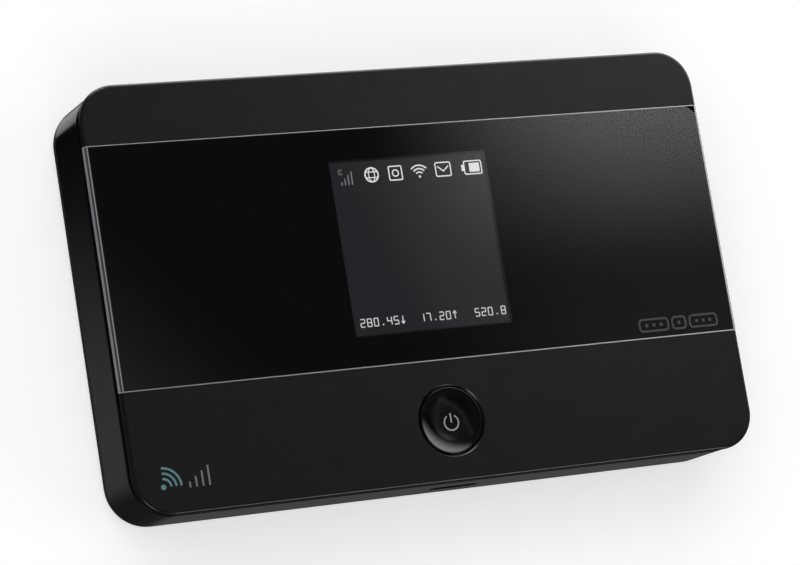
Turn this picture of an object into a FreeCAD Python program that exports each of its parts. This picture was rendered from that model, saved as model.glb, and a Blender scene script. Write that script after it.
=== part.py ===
"""Pocket mobile hotspot: housing, display, circuit board, battery and keys.

The case lies on its back cover with the display facing up.
X runs along the long side, Y up the display and Z through the thickness.
The origin is the centre of the back cover's resting face. Sizes are in millimetres.
"""
import FreeCAD, Part
import math
import os
import re
import Sketcher

V = FreeCAD.Vector
DOC = FreeCAD.newDocument("MobileHotspot")

DIMENSIONS = {
    # Case outline and the heights where its shells meet
    "case_width": 106.0,
    "case_depth": 66.0,
    "case_height": 16.0,
    "case_corner": 6.5,
    "plate_corner": 6.0,
    "wall": 1.6,
    "clearance": 0.35,
    "overshoot": 1.0,
    # Back cover
    "cover_floor": 1.2,
    "cover_top": 3.2,
    "cover_round": 2.6,
    "lip_gap": 0.12,
    "lip_wall": 0.8,
    "lip_top": 5.0,
    "snap_width": 8.0,
    "snap_reach": 0.09,
    "snap_low": 4.1,
    "snap_high": 4.6,
    "snap_spacing": 34.0,
    "pry_place": -21.0,
    "pry_width": 7.0,
    "pry_depth": 1.0,
    "pry_height": 0.9,
    # Middle frame
    "frame_low": 3.3,
    "frame_top": 13.7,
    "frame_round": 0.3,
    "floor_low": 7.8,
    "floor_top": 8.8,
    "rib_low": 3.9,
    "rib_wall": 0.65,
    "card_window_left": -44.5,
    "card_window_right": -17.3,
    "card_window_front": -22.5,
    "card_window_back": 21.0,
    # Front cover
    "plate_low": 14.85,
    "plate_top": 15.85,
    "plate_round": 0.5,
    "neck_inset": 0.7,
    "skirt_gap": 0.1,
    "skirt_low": 12.6,
    "skirt_wall": 1.0,
    "ceiling": 14.15,
    "boss_radius": 2.0,
    # Glossy lens across the front
    "band_front": -14.15,
    "band_back": 23.67,
    "lens_gap": 0.06,
    "lens_low": 15.0,
    "lens_side_round": 0.6,
    "lens_edge_round": 0.12,
    "mask_low": 14.95,
    "tape_inset": 1.2,
    "window_width": 27.1,
    "window_depth": 28.0,
    "window_corner": 0.3,
    # Display module
    "display_place": 4.75,
    "glass_width": 30.4,
    "glass_front": -13.2,
    "glass_back": 20.3,
    "glass_low": 13.3,
    "glass_step": 13.8,
    "glass_top": 14.3,
    "ledge_back": -10.4,
    "opening_gap": 0.3,
    "polarizer_width": 27.5,
    "polarizer_depth": 28.4,
    "polarizer_top": 14.5,
    "gasket_gap": 0.2,
    "tray_width": 31.4,
    "tray_front": -13.75,
    "tray_back": 20.8,
    "tray_low": 12.05,
    "tray_top": 14.05,
    "tray_wall": 0.25,
    "tray_floor": 0.2,
    "driver_width": 12.0,
    "driver_depth": 1.3,
    "driver_place": -11.4,
    "driver_height": 0.3,
    "flex_width": 9.0,
    "flex_thickness": 0.12,
    "flex_slack": 0.05,
    "flex_bond": -12.5,
    "flex_turn": -14.6,
    "flex_low": 10.2,
    "flex_end": -12.0,
    "socket_width": 12.0,
    "socket_front": -12.6,
    "socket_back": -9.4,
    "socket_height": 1.0,
    # Main board
    "board_width": 87.0,
    "board_depth": 60.0,
    "board_corner": 1.0,
    "board_low": 9.0,
    "board_top": 9.8,
    "boss_clearance": 0.3,
    # Shields and what they cover
    "shield_height": 1.5,
    "shield_wall": 0.2,
    "shield_width": 22.0,
    "shield_depth": 28.0,
    "shield_place": 29.0,
    "radio_width": 26.0,
    "radio_depth": 24.0,
    "radio_place": 6.5,
    "chip_height": 1.0,
    "baseband_side": 12.0,
    "memory_width": 10.0,
    "memory_depth": 8.0,
    "memory_offset": 9.0,
    "chip_offset": 5.0,
    "radio_side": 9.0,
    "regulator_side": 6.0,
    "pad_width": 20.0,
    "pad_depth": 16.0,
    "inductor_side": 3.0,
    "inductor_height": 1.2,
    "inductor_pitch": 5.0,
    "inductor_offset": -6.0,
    "capacitor_width": 1.0,
    "capacitor_depth": 0.6,
    "capacitor_height": 0.5,
    "capacitor_pitch": 2.2,
    "capacitor_row": 17.0,
    "crystal_width": 3.2,
    "crystal_depth": 2.5,
    "crystal_height": 0.8,
    "crystal_x": -16.0,
    "crystal_y": -19.0,
    # Battery pack and its contacts
    "battery_left": -13.0,
    "battery_right": 49.0,
    "battery_depth": 50.0,
    "battery_low": 1.6,
    "battery_top": 7.4,
    "battery_round": 1.1,
    "battery_gap": 0.35,
    "label_thickness": 0.1,
    "label_margin": 4.0,
    "bay_label_width": 40.0,
    "bay_label_depth": 30.0,
    "terminal_place": -14.0,
    "terminal_pitch": 3.0,
    "terminal_width": 1.8,
    "terminal_height": 2.0,
    "terminal_level": 5.8,
    "terminal_proud": 0.1,
    "connector_left": -16.9,
    "connector_right": -14.3,
    "connector_depth": 13.0,
    "connector_low": 4.3,
    "blade_width": 0.8,
    "blade_height": 1.0,
    "blade_root": 1.2,
    "blade_gap": 0.03,
    # Micro-USB receptacle
    "usb_place": 2.2,
    "usb_width": 7.5,
    "usb_height": 2.45,
    "usb_depth": 5.6,
    "usb_setback": 0.5,
    "usb_corner": 0.7,
    "usb_wall": 0.3,
    "port_width": 8.2,
    "port_height": 2.7,
    "port_corner": 0.9,
    "tongue_width": 4.2,
    "tongue_height": 0.65,
    "tongue_depth": 4.4,
    "usb_back_wall": 0.6,
    # SIM and memory card holders under the board
    "sim_left": -43.0,
    "sim_right": -17.8,
    "sim_front": 1.5,
    "sim_back": 19.5,
    "sim_cage_low": 6.6,
    "sim_card_space": 0.95,
    "memory_card_left": -34.0,
    "memory_card_right": -19.0,
    "memory_card_front": -15.0,
    "memory_card_back": -1.5,
    "memory_cage_low": 6.9,
    "memory_card_space": 0.85,
    "cage_wall": 0.2,
    "contact_width": 1.4,
    "contact_length": 3.0,
    "contact_height": 0.12,
    "contact_pitch": 2.54,
    "contact_row": 7.6,
    # Reset switch under the board
    "reset_x": -39.5,
    "reset_y": -18.0,
    "reset_side": 3.2,
    "reset_height": 1.1,
    "reset_radius": 0.6,
    "reset_low": 7.45,
    "reset_bore": 0.6,
    "reset_seat": 0.3,
    # Power button
    "button_place": -23.57,
    "well_radius": 5.5,
    "well_chamfer": 0.2,
    "button_radius": 5.25,
    "button_top": 15.7,
    "button_round": 0.15,
    "dish_radius": 5.0,
    "dish_depth": 0.62,
    "flange_radius": 6.1,
    "flange_low": 13.5,
    "flange_top": 14.05,
    "stem_radius": 1.5,
    "stem_low": 12.7,
    "pad_low": 12.3,
    "power_switch_side": 5.2,
    "power_switch_height": 1.5,
    "plunger_radius": 1.2,
    "plunger_gap": 0.08,
    "power_bore": 0.9,
    "power_plunger_low": 11.0,
    # Menu key in the top side wall
    "menu_x": 20.0,
    "menu_z": 10.7,
    "menu_width": 10.0,
    "menu_height": 2.2,
    "menu_gap": 0.1,
    "menu_end_flat": 0.02,
    "menu_proud": 0.25,
    "menu_round": 0.2,
    "menu_flange_margin": 0.7,
    "menu_flange_back": 31.2,
    "menu_flange_front": 30.5,
    "menu_nub_radius": 0.8,
    "menu_plunger_back": 29.6,
    "menu_plunger_front": 28.0,
    "menu_plunger_radius": 0.55,
    "menu_switch_width": 4.6,
    "menu_switch_front": 25.9,
    "menu_switch_back": 28.5,
    "menu_switch_height": 1.8,
    "menu_bore": 1.0,
    # Antennas
    "carrier_inner": 44.4,
    "carrier_outer": 50.9,
    "carrier_depth": 44.0,
    "carrier_top": 12.4,
    "foil_thickness": 0.1,
    "foil_margin": 0.8,
    "foil_slot": 1.2,
    "foil_slot_length": 29.4,
    "wifi_place": 31.0,
    "wifi_width": 9.0,
    "wifi_depth": 2.4,
    "wifi_height": 1.8,
    "wifi_back": 28.9,
    "spring_width": 1.2,
    "spring_height": 1.2,
    "spring_place": 20.5,
    "spring_inner": 41.5,
    # Screws
    "case_screw_left": -40.0,
    "case_screw_middle": -12.0,
    "case_screw_right": 40.0,
    "screw_y": 28.0,
    "screw_shank": 0.78,
    "screw_hole": 0.82,
    "screw_head": 1.4,
    "screw_head_height": 0.7,
    "screw_tip": 12.8,
    "socket_radius": 0.45,
    "socket_depth": 0.35,
    "board_screw_x": 33.0,
    "board_screw_y": 22.5,
    "board_screw_tip": 8.0,
    "board_screw_gap": 0.1,
    "board_screw_head": 1.3,
    "board_screw_head_height": 0.5,
}

CASE_SCREWS = ("case_screw_left", "case_screw_middle", "case_screw_right")

SHEET = DOC.addObject("Spreadsheet::Sheet", "Dims")
for row, (alias, value) in enumerate(DIMENSIONS.items(), start=1):
    SHEET.set(f"A{row}", alias)
    SHEET.set(f"B{row}", str(value))
    SHEET.setAlias(f"B{row}", alias)
DOC.recompute()

ALIAS = re.compile(r"[a-z][a-z_]+")


def formula(text):
    """Point every alias in an expression at the sheet."""
    return ALIAS.sub(lambda found: "Dims." + found.group(0), str(text))


def bind(item, name, text):
    item.setExpression(name, formula(text))


def size(text):
    """The number that an expression comes to."""
    return float(SHEET.evalExpression(formula(text)))


def span(centre, length):
    """Low and high expressions of a length about a centre."""
    return f"({centre}) - ({length}) / 2", f"({centre}) + ({length}) / 2"


def inset_outline(inset):
    """X and Y extents of the case outline, moved in by an inset."""
    return span("0", f"case_width - 2 * ({inset})"), span("0", f"case_depth - 2 * ({inset})")


# Primitives and booleans ---------------------------------------------------


def box(name, x, y, z):
    item = DOC.addObject("Part::Box", name)
    sides = zip(("Length", "Width", "Height"), "xyz", (x, y, z))
    for side, letter, (low, high) in sides:
        bind(item, side, f"({high}) - ({low})")
        bind(item, "Placement.Base." + letter, low)
    return item


def cylinder(name, x, y, z, radius):
    item = DOC.addObject("Part::Cylinder", name)
    bind(item, "Radius", radius)
    bind(item, "Height", f"({z[1]}) - ({z[0]})")
    for letter, text in zip("xyz", (x, y, z[0])):
        bind(item, "Placement.Base." + letter, text)
    return item


def cylinder_along_y(name, x, y, z, radius):
    """A cylinder whose axis runs along +Y between the two Y expressions."""
    item = cylinder(name, x, "0", ("0", f"({y[1]}) - ({y[0]})"), radius)
    item.Placement.Rotation = FreeCAD.Rotation(V(1, 0, 0), -90)
    bind(item, "Placement.Base.y", y[0])
    bind(item, "Placement.Base.z", z)
    return item


def group(name, items):
    item = DOC.addObject("Part::Compound", name)
    item.Links = items
    return item


def fuse(name, items):
    item = DOC.addObject("Part::MultiFuse", name)
    item.Shapes = items
    return item


def cut(name, base, tools):
    item = DOC.addObject("Part::Cut", name)
    item.Base = base
    item.Tool = tools[0] if len(tools) == 1 else fuse(name + "_tools", tools)
    return item


# Part design ---------------------------------------------------------------


def new_body(name):
    body = DOC.addObject("PartDesign::Body", name)
    body.Label = name
    return body


def new_sketch(body, name, role="XY_Plane", offset="0"):
    """A sketch on one of the body's own origin planes."""
    sketch = body.newObject("Sketcher::SketchObject", f"{body.Name}_{name}")
    plane = next(item for item in body.Origin.OriginFeatures if item.Role == role)
    sketch.AttachmentSupport = [(plane, "")]
    sketch.MapMode = "FlatFace"
    bind(sketch, "AttachmentOffset.Base.z", offset)
    return sketch


def pin_sizes(sketch, sizes):
    """Add dimensional constraints, each named and bound to the sheet."""
    for name, (constraint, text) in sizes.items():
        index = sketch.addConstraint(constraint)
        sketch.renameConstraint(index, name)
        bind(sketch, "Constraints." + name, text)


def draw_rectangle(sketch, x, y, corner=None):
    """A rectangle between expressions, with rounded corners if a radius is given."""
    left, right = (size(text) for text in x)
    front, back = (size(text) for text in y)
    radius = size(corner) if corner else 0.0
    lines = [
        (left + radius, front, right - radius, front),
        (right, front + radius, right, back - radius),
        (right - radius, back, left + radius, back),
        (left, back - radius, left, front + radius),
    ]
    for x0, y0, x1, y1 in lines:
        sketch.addGeometry(Part.LineSegment(V(x0, y0, 0), V(x1, y1, 0)), False)
    rules = [Sketcher.Constraint("Horizontal", line) for line in (0, 2)]
    rules += [Sketcher.Constraint("Vertical", line) for line in (1, 3)]
    sizes = {
        "left": (Sketcher.Constraint("DistanceX", -1, 1, 3, 1, left), x[0]),
        "right": (Sketcher.Constraint("DistanceX", -1, 1, 1, 1, right), x[1]),
        "front": (Sketcher.Constraint("DistanceY", -1, 1, 0, 1, front), y[0]),
        "back": (Sketcher.Constraint("DistanceY", -1, 1, 2, 1, back), y[1]),
    }
    if corner:
        centres = [(right, front), (right, back), (left, back), (left, front)]
        for turn, (x0, y0) in enumerate(centres):
            start = math.radians(90 * turn - 90)
            middle = V(x0 - math.copysign(radius, x0 - left - radius), 0, 0)
            middle.y = y0 - math.copysign(radius, y0 - front - radius)
            circle = Part.Circle(middle, V(0, 0, 1), radius)
            arc = Part.ArcOfCircle(circle, start, start + math.pi / 2)
            sketch.addGeometry(arc, False)
            rules.append(Sketcher.Constraint("Tangent", turn, 2, 4 + turn, 1))
            rules.append(Sketcher.Constraint("Tangent", 4 + turn, 2, (turn + 1) % 4, 1))
        rules += [Sketcher.Constraint("Equal", 4, arc) for arc in (5, 6, 7)]
        sizes["corner"] = (Sketcher.Constraint("Radius", 4, radius), corner)
    else:
        ends = [Sketcher.Constraint("Coincident", i, 2, (i + 1) % 4, 1) for i in range(4)]
        rules += ends
    sketch.addConstraint(rules)
    pin_sizes(sketch, sizes)


def draw_circle(sketch, x, y, radius):
    circle = Part.Circle(V(size(x), size(y), 0), V(0, 0, 1), size(radius))
    sketch.addGeometry(circle, False)
    sizes = {
        "radius": (Sketcher.Constraint("Radius", 0, size(radius)), radius),
        "centre_x": (Sketcher.Constraint("DistanceX", -1, 1, 0, 3, size(x)), x),
        "centre_y": (Sketcher.Constraint("DistanceY", -1, 1, 0, 3, size(y)), y),
    }
    pin_sizes(sketch, sizes)


def extrude(body, name, sketch, length, remove):
    """Pad a sketch upwards, or pocket it upwards, and test that it did its work."""
    before = body.Shape.Volume if body.Tip else 0.0
    kind = "PartDesign::Pocket" if remove else "PartDesign::Pad"
    feature = body.newObject(kind, f"{body.Name}_{name}_{'cut' if remove else 'pad'}")
    feature.Profile = sketch
    feature.Reversed = remove
    bind(feature, "Length", length)
    DOC.recompute()
    change = body.Shape.Volume - before
    if change * (-1 if remove else 1) <= 0:
        raise RuntimeError(f"{feature.Name} changed the volume by {change:.4f}")
    return feature


def slab(body, name, x, y, z, corner=None, remove=False):
    """A flat block with an optional corner radius, added to or cut from a body."""
    sketch = new_sketch(body, name, offset=z[0])
    draw_rectangle(sketch, x, y, corner)
    return extrude(body, name, sketch, f"({z[1]}) - ({z[0]})", remove)


def disc(body, name, x, y, z, radius, remove=False):
    sketch = new_sketch(body, name, offset=z[0])
    draw_circle(sketch, x, y, radius)
    return extrude(body, name, sketch, f"({z[1]}) - ({z[0]})", remove)


def dress(body, kind, name, amount, wanted):
    """Fillet or Chamfer the edges of the body's tip that a test picks."""
    base = body.Tip
    names = [f"Edge{i}" for i, edge in enumerate(base.Shape.Edges, start=1) if wanted(edge)]
    feature = body.newObject("PartDesign::" + kind, f"{body.Name}_{name}")
    feature.Base = (base, names)
    bind(feature, "Radius" if kind == "Fillet" else "Size", amount)
    DOC.recompute()
    return feature


def level_at(height):
    """A test for edges that lie flat at one height."""
    level = size(height)

    def test(edge):
        extent = edge.BoundBox
        return abs(extent.ZMin - level) < 1e-5 and abs(extent.ZMax - level) < 1e-5

    return test


# Housing -------------------------------------------------------------------


def make_back_cover():
    body = new_body("back_cover")
    outer = inset_outline("0")
    slab(body, "shell", *outer, ("0", "cover_top"), "case_corner")
    dress(body, "Fillet", "rounded_back", "cover_round", level_at("0"))
    lip_x, lip_y = inset_outline("wall + lip_gap")
    lip_corner = "case_corner - wall - lip_gap"
    slab(body, "lip", lip_x, lip_y, ("cover_top", "lip_top"), lip_corner)
    hollow_x, hollow_y = inset_outline("wall + lip_gap + lip_wall")
    hollow_corner = "case_corner - wall - lip_gap - lip_wall"
    slab(body, "lip_hollow", hollow_x, hollow_y, ("cover_top", "lip_top"), hollow_corner, True)
    slab(body, "hollow", hollow_x, hollow_y, ("cover_floor", "cover_top"), hollow_corner, True)
    for place in (-1, 0, 1):
        for side in (-1, 1):
            face = f"{side} * (case_depth / 2 - wall - lip_gap)"
            width = span(f"{place} * snap_spacing", "snap_width")
            depth = span(face, "2 * snap_reach")
            name = f"snap_{place + 1}_{'front' if side < 0 else 'back'}"
            slab(body, name, width, depth, ("snap_low", "snap_high"))
    pry_x = ("case_width / 2 - pry_depth", "case_width / 2 + pry_depth")
    pry_y = span("pry_place", "pry_width")
    slab(body, "pry_notch", pry_x, pry_y, ("cover_top - pry_height", "cover_top"), None, True)
    return body


def wall_opening(body, name, plane, x, z, corner):
    """A rounded slot through the long side wall that starts at a plane."""
    sketch = new_sketch(body, name, "XZ_Plane", plane)
    draw_rectangle(sketch, x, z, corner)
    extrude(body, name, sketch, "wall + 2 * clearance", True)


def make_middle_frame():
    body = new_body("middle_frame")
    slab(body, "wall", *inset_outline("0"), ("frame_low", "frame_top"), "case_corner")
    dress(body, "Fillet", "rim", "frame_round", level_at("frame_top"))
    inner = inset_outline("wall")
    inner_corner = "case_corner - wall"
    slab(body, "front_room", *inner, ("floor_top", "frame_top"), inner_corner, True)
    slab(body, "back_room", *inner, ("frame_low", "floor_low"), inner_corner, True)
    # Ribs on three sides of the battery
    right = "battery_right + battery_gap"
    reach = "battery_depth / 2 + battery_gap"
    rib_right = f"{right} + rib_wall"
    for side in (-1, 1):
        low = f"{side} * ({reach}) + ({side} - 1) / 2 * rib_wall"
        name = f"rib_{'front' if side < 0 else 'back'}"
        rib_y = (low, f"{low} + rib_wall")
        slab(body, name, ("battery_left", rib_right), rib_y, ("rib_low", "floor_low"))
    slab(body, "rib_end", (right, rib_right), (f"-({reach})", reach), ("rib_low", "floor_low"))
    # Windows in the floor: card holders, battery connector and receptacle
    window_x = ("card_window_left", "card_window_right")
    window_y = ("card_window_front", "card_window_back")
    floor = ("floor_low", "floor_top")
    slab(body, "card_window", window_x, window_y, floor, None, True)
    connector_x = ("card_window_right", "connector_right + clearance")
    connector_y = span("terminal_place", "connector_depth + 2 * clearance")
    slab(body, "connector_window", connector_x, connector_y, floor, None, True)
    usb_x = span("usb_place", "port_width + 2 * clearance")
    usb_y = ("wall - case_depth / 2", "usb_setback + usb_depth + clearance - case_depth / 2")
    slab(body, "usb_window", usb_x, usb_y, floor, None, True)
    # Openings in the side walls, for the receptacle and the menu key
    port_z = span("board_low - usb_height / 2", "port_height")
    port_plane = "case_depth / 2 - wall - clearance"
    wall_opening(body, "port", port_plane, span("usb_place", "port_width"), port_z, "port_corner")
    key_x = span("menu_x", "menu_width + 2 * menu_gap")
    key_z = span("menu_z", "menu_height + 2 * menu_gap")
    key_corner = "menu_height / 2 + menu_gap - menu_end_flat / 2"
    wall_opening(body, "menu", "-case_depth / 2 - clearance", key_x, key_z, key_corner)
    # Screw holes and the pads that the board rests on
    for number, place in enumerate(CASE_SCREWS, start=1):
        for side in (-1, 1):
            spot = (place, f"{side} * screw_y")
            name = f"screw_{number}_{'front' if side < 0 else 'back'}"
            disc(body, name, *spot, floor, "screw_hole", True)
    for side in (-1, 1):
        spot = (f"{side} * board_screw_x", "board_screw_y")
        name = "left" if side < 0 else "right"
        disc(body, name + "_rest", *spot, ("floor_top", "board_low"), "boss_radius")
        screw_z = ("board_screw_tip", "board_low")
        disc(body, name + "_hole", *spot, screw_z, "screw_hole", True)
    return body


def make_front_cover():
    body = new_body("front_cover")
    slab(body, "plate", *inset_outline("0"), ("plate_low", "plate_top"), "plate_corner")
    dress(body, "Fillet", "plate_edge", "plate_round", level_at("plate_top"))
    neck_corner = "plate_corner - neck_inset"
    neck = inset_outline("neck_inset")
    slab(body, "neck", *neck, ("frame_top", "plate_low"), neck_corner)
    skirt_corner = "case_corner - wall - skirt_gap"
    skirt = inset_outline("wall + skirt_gap")
    slab(body, "skirt", *skirt, ("skirt_low", "frame_top"), skirt_corner)
    inside = inset_outline("wall + skirt_gap + skirt_wall")
    inside_corner = "case_corner - wall - skirt_gap - skirt_wall"
    slab(body, "inside", *inside, ("skirt_low", "ceiling"), inside_corner, True)
    # Recess for the lens, then the display opening and the button well
    recess_x = ("-case_width", "case_width")
    recess_y = ("band_front", "band_back")
    slab(body, "recess", recess_x, recess_y, ("plate_low", "case_height"), None, True)
    opening_x = span("0", "glass_width + 2 * opening_gap")
    opening_y = ("glass_front - opening_gap", "glass_back + opening_gap")
    through = ("ceiling", "plate_low")
    slab(body, "opening", opening_x, opening_y, through, None, True)
    disc(body, "well", "0", "button_place", ("ceiling", "plate_top"), "well_radius", True)
    rim = size("well_radius")

    def well_rim(edge):
        level = level_at("plate_top")(edge)
        return level and abs(edge.BoundBox.XLength - 2 * rim) < 1e-3

    dress(body, "Chamfer", "well_edge", "well_chamfer", well_rim)
    for number, place in enumerate(CASE_SCREWS, start=1):
        for side in (-1, 1):
            spot = (place, f"{side} * screw_y")
            name = f"boss_{number}_{'front' if side < 0 else 'back'}"
            disc(body, name, *spot, ("floor_top", "ceiling"), "boss_radius")
            hole_z = ("floor_top", "screw_tip + clearance")
            disc(body, name + "_hole", *spot, hole_z, "screw_hole", True)
    return body


def make_lens_parts():
    lens = new_body("display_lens")
    lens_x = span("0", "case_width")
    lens_y = ("band_front + lens_gap", "band_back - lens_gap")
    slab(lens, "pane", lens_x, lens_y, ("lens_low", "case_height"))
    reach = size("case_width") / 2
    top = level_at("case_height")

    def side_edge(edge):
        extent = edge.BoundBox
        return top(edge) and extent.XLength < 1e-5 and abs(abs(extent.XMin) - reach) < 1e-5

    dress(lens, "Fillet", "side_edges", "lens_side_round", side_edge)
    dress(lens, "Fillet", "long_edges", "lens_edge_round", top)
    mask = new_body("lens_mask")
    mask_z = ("mask_low", "lens_low")
    slab(mask, "film", lens_x, lens_y, mask_z)
    window_x = span("0", "window_width")
    window_y = span("display_place", "window_depth")
    slab(mask, "window", window_x, window_y, mask_z, "window_corner", True)
    tape = new_body("lens_adhesive")
    tape_x = span("0", "case_width - 2 * tape_inset")
    tape_z = ("plate_low", "mask_low")
    slab(tape, "strip", tape_x, lens_y, tape_z)
    hole_x = span("0", "glass_width + 2 * opening_gap")
    hole_y = ("glass_front - opening_gap", "glass_back + opening_gap")
    slab(tape, "hole", hole_x, hole_y, tape_z, None, True)
    return [lens, mask, tape]


# Display module ------------------------------------------------------------


def make_display():
    glass_x = span("0", "glass_width")
    glass_y = ("glass_front", "glass_back")
    plate = box("glass_plate", glass_x, glass_y, ("glass_low", "glass_top"))
    ledge_y = ("glass_front - opening_gap", "ledge_back")
    wide = span("0", "glass_width + 2 * overshoot")
    ledge = box("glass_ledge", wide, ledge_y, ("glass_step", "glass_top + overshoot"))
    glass = cut("lcd_glass", plate, [ledge])
    polarizer_x = span("0", "polarizer_width")
    polarizer_y = span("display_place", "polarizer_depth")
    film = box("lcd_polarizer", polarizer_x, polarizer_y, ("glass_top", "polarizer_top"))
    # Foam ring between the display glass and the lens
    inner_x = span("0", "polarizer_width + 2 * gasket_gap")
    inner_y = span("display_place", "polarizer_depth + 2 * gasket_gap")
    outer_x = span("0", "glass_width - 2 * gasket_gap")
    outer_y = ("ledge_back + gasket_gap", "glass_back - gasket_gap")
    gasket_z = ("glass_top", "mask_low")
    ring = box("gasket_block", outer_x, outer_y, gasket_z)
    gasket = cut("lcd_gasket", ring, [box("gasket_hole", inner_x, inner_y, gasket_z)])
    # Pressed steel tray, light guide and driver chip
    tray_x = span("0", "tray_width")
    tray_y = ("tray_front", "tray_back")
    block = box("tray_block", tray_x, tray_y, ("tray_low", "tray_top"))
    room_x = span("0", "tray_width - 2 * tray_wall")
    room_y = ("tray_front + tray_wall", "tray_back - tray_wall")
    room = box("tray_room", room_x, room_y, ("tray_low + tray_floor", "tray_top + overshoot"))
    notch_x = span("0", "flex_width + 2 * gasket_gap")
    notch_y = ("tray_front - overshoot", "tray_front + overshoot")
    notch_z = ("glass_step - gasket_gap", "tray_top + overshoot")
    notch = box("tray_notch", notch_x, notch_y, notch_z)
    tray = cut("lcd_tray", block, [room, notch])
    guide_z = ("tray_low + tray_floor", "glass_low")
    guide = box("lcd_backlight", glass_x, glass_y, guide_z)
    driver_x = span("0", "driver_width")
    driver_y = span("driver_place", "driver_depth")
    driver = box("lcd_driver", driver_x, driver_y, ("glass_step", "glass_step + driver_height"))
    socket_y = ("socket_front", "socket_back")
    socket_z = ("board_top", "board_top + socket_height")
    socket_block = box("socket_block", span("0", "socket_width"), socket_y, socket_z)
    mouth_y = ("socket_front - overshoot", "flex_end + gasket_gap")
    mouth_z = ("flex_low - flex_slack", "flex_low + flex_thickness + flex_slack")
    mouth = box("socket_mouth", span("0", "flex_width + overshoot"), mouth_y, mouth_z)
    socket = cut("lcd_connector", socket_block, [mouth])
    return [glass, film, gasket, tray, guide, driver, socket, make_flex()]


def make_flex():
    """Ribbon that leaves the glass ledge, turns under the tray and ends in its socket."""
    body = new_body("lcd_flex")
    sketch = new_sketch(body, "route", "YZ_Plane", "-flex_width / 2")
    low, top = size("flex_low"), size("glass_step")
    thick = size("flex_thickness")
    turn, bond, end = size("flex_turn"), size("flex_bond"), size("flex_end")
    middle = V(turn, (low + top + thick) / 2, 0)
    outer = (top + thick - low) / 2
    circles = [Part.Circle(middle, V(0, 0, 1), radius) for radius in (outer, outer - thick)]
    shapes = [Part.ArcOfCircle(circle, math.pi / 2, 3 * math.pi / 2) for circle in circles]
    levels = ((top + thick, bond), (top, bond), (low, end), (low + thick, end))
    shapes += [Part.LineSegment(V(turn, level, 0), V(stop, level, 0)) for level, stop in levels]
    shapes.append(Part.LineSegment(V(bond, top + thick, 0), V(bond, top, 0)))
    shapes.append(Part.LineSegment(V(end, low, 0), V(end, low + thick, 0)))
    sketch.addGeometry(shapes, False)
    outer_arc, inner_arc, top_out, top_in, low_out, low_in, start_edge, end_edge = range(8)
    joins = [
        (outer_arc, 1, top_out, 1, "Tangent"),
        (inner_arc, 1, top_in, 1, "Tangent"),
        (outer_arc, 2, low_out, 1, "Tangent"),
        (inner_arc, 2, low_in, 1, "Tangent"),
        (top_out, 2, start_edge, 1, "Coincident"),
        (top_in, 2, start_edge, 2, "Coincident"),
        (low_out, 2, end_edge, 1, "Coincident"),
        (low_in, 2, end_edge, 2, "Coincident"),
        (outer_arc, 3, inner_arc, 3, "Coincident"),
    ]
    rules = [Sketcher.Constraint(kind, a, ends_a, b, ends_b) for a, ends_a, b, ends_b, kind in joins]
    rules += [Sketcher.Constraint("Horizontal", line) for line in (top_out, low_out)]
    rules += [Sketcher.Constraint("Vertical", line) for line in (start_edge, end_edge)]
    sketch.addConstraint(rules)
    across, up = "DistanceX", "DistanceY"
    sizes = {
        "thickness": (Sketcher.Constraint(up, start_edge, 2, start_edge, 1, thick), "flex_thickness"),
        "bond": (Sketcher.Constraint(across, -1, 1, start_edge, 1, bond), "flex_bond"),
        "end": (Sketcher.Constraint(across, -1, 1, end_edge, 1, end), "flex_end"),
        "top": (Sketcher.Constraint(up, -1, 1, start_edge, 2, top), "glass_step"),
        "low": (Sketcher.Constraint(up, -1, 1, end_edge, 1, low), "flex_low"),
        "turn": (Sketcher.Constraint(across, -1, 1, outer_arc, 3, turn), "flex_turn"),
    }
    pin_sizes(sketch, sizes)
    extrude(body, "ribbon", sketch, "flex_width", False)
    return body


# Circuit board and what it carries ------------------------------------------


def make_main_board():
    body = new_body("main_board")
    board_z = ("board_low", "board_top")
    board_x, board_y = span("0", "board_width"), span("0", "board_depth")
    slab(body, "laminate", board_x, board_y, board_z, "board_corner")
    for number, place in enumerate(CASE_SCREWS, start=1):
        for side in (-1, 1):
            name = f"boss_{number}_{'front' if side < 0 else 'back'}"
            radius = "boss_radius + boss_clearance"
            disc(body, name, place, f"{side} * screw_y", board_z, radius, True)
    for side in (-1, 1):
        name = f"screw_{'left' if side < 0 else 'right'}"
        disc(body, name, f"{side} * board_screw_x", "board_screw_y", board_z, "screw_hole", True)
    return body


def shield(name, x, y):
    """A drawn steel can, open towards the board."""
    top = "board_top + shield_height"
    can = box(name + "_can", span(*x), span(*y), ("board_top", top))
    room_x = span(x[0], f"{x[1]} - 2 * shield_wall")
    room_y = span(y[0], f"{y[1]} - 2 * shield_wall")
    room = box(name + "_room", room_x, room_y, ("board_top - overshoot", f"{top} - shield_wall"))
    return cut(name, can, [room])


def on_board(name, x, y, height):
    return box(name, span(*x), span(*y), ("board_top", f"board_top + {height}"))


# Centre and size of each chip in X and Y, then its height
CHIPS = {
    "baseband_chip": ("-shield_place", "baseband_side", "-chip_offset", "baseband_side", "chip_height"),
    "memory_chip": ("-shield_place", "memory_width", "memory_offset", "memory_depth", "chip_height"),
    "radio_chip": ("0", "radio_side", "radio_place", "radio_side", "chip_height"),
    "power_chip": ("shield_place", "regulator_side", "chip_offset", "regulator_side", "chip_height"),
    "clock_crystal": ("crystal_x", "crystal_width", "crystal_y", "crystal_depth", "crystal_height"),
}


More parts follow.
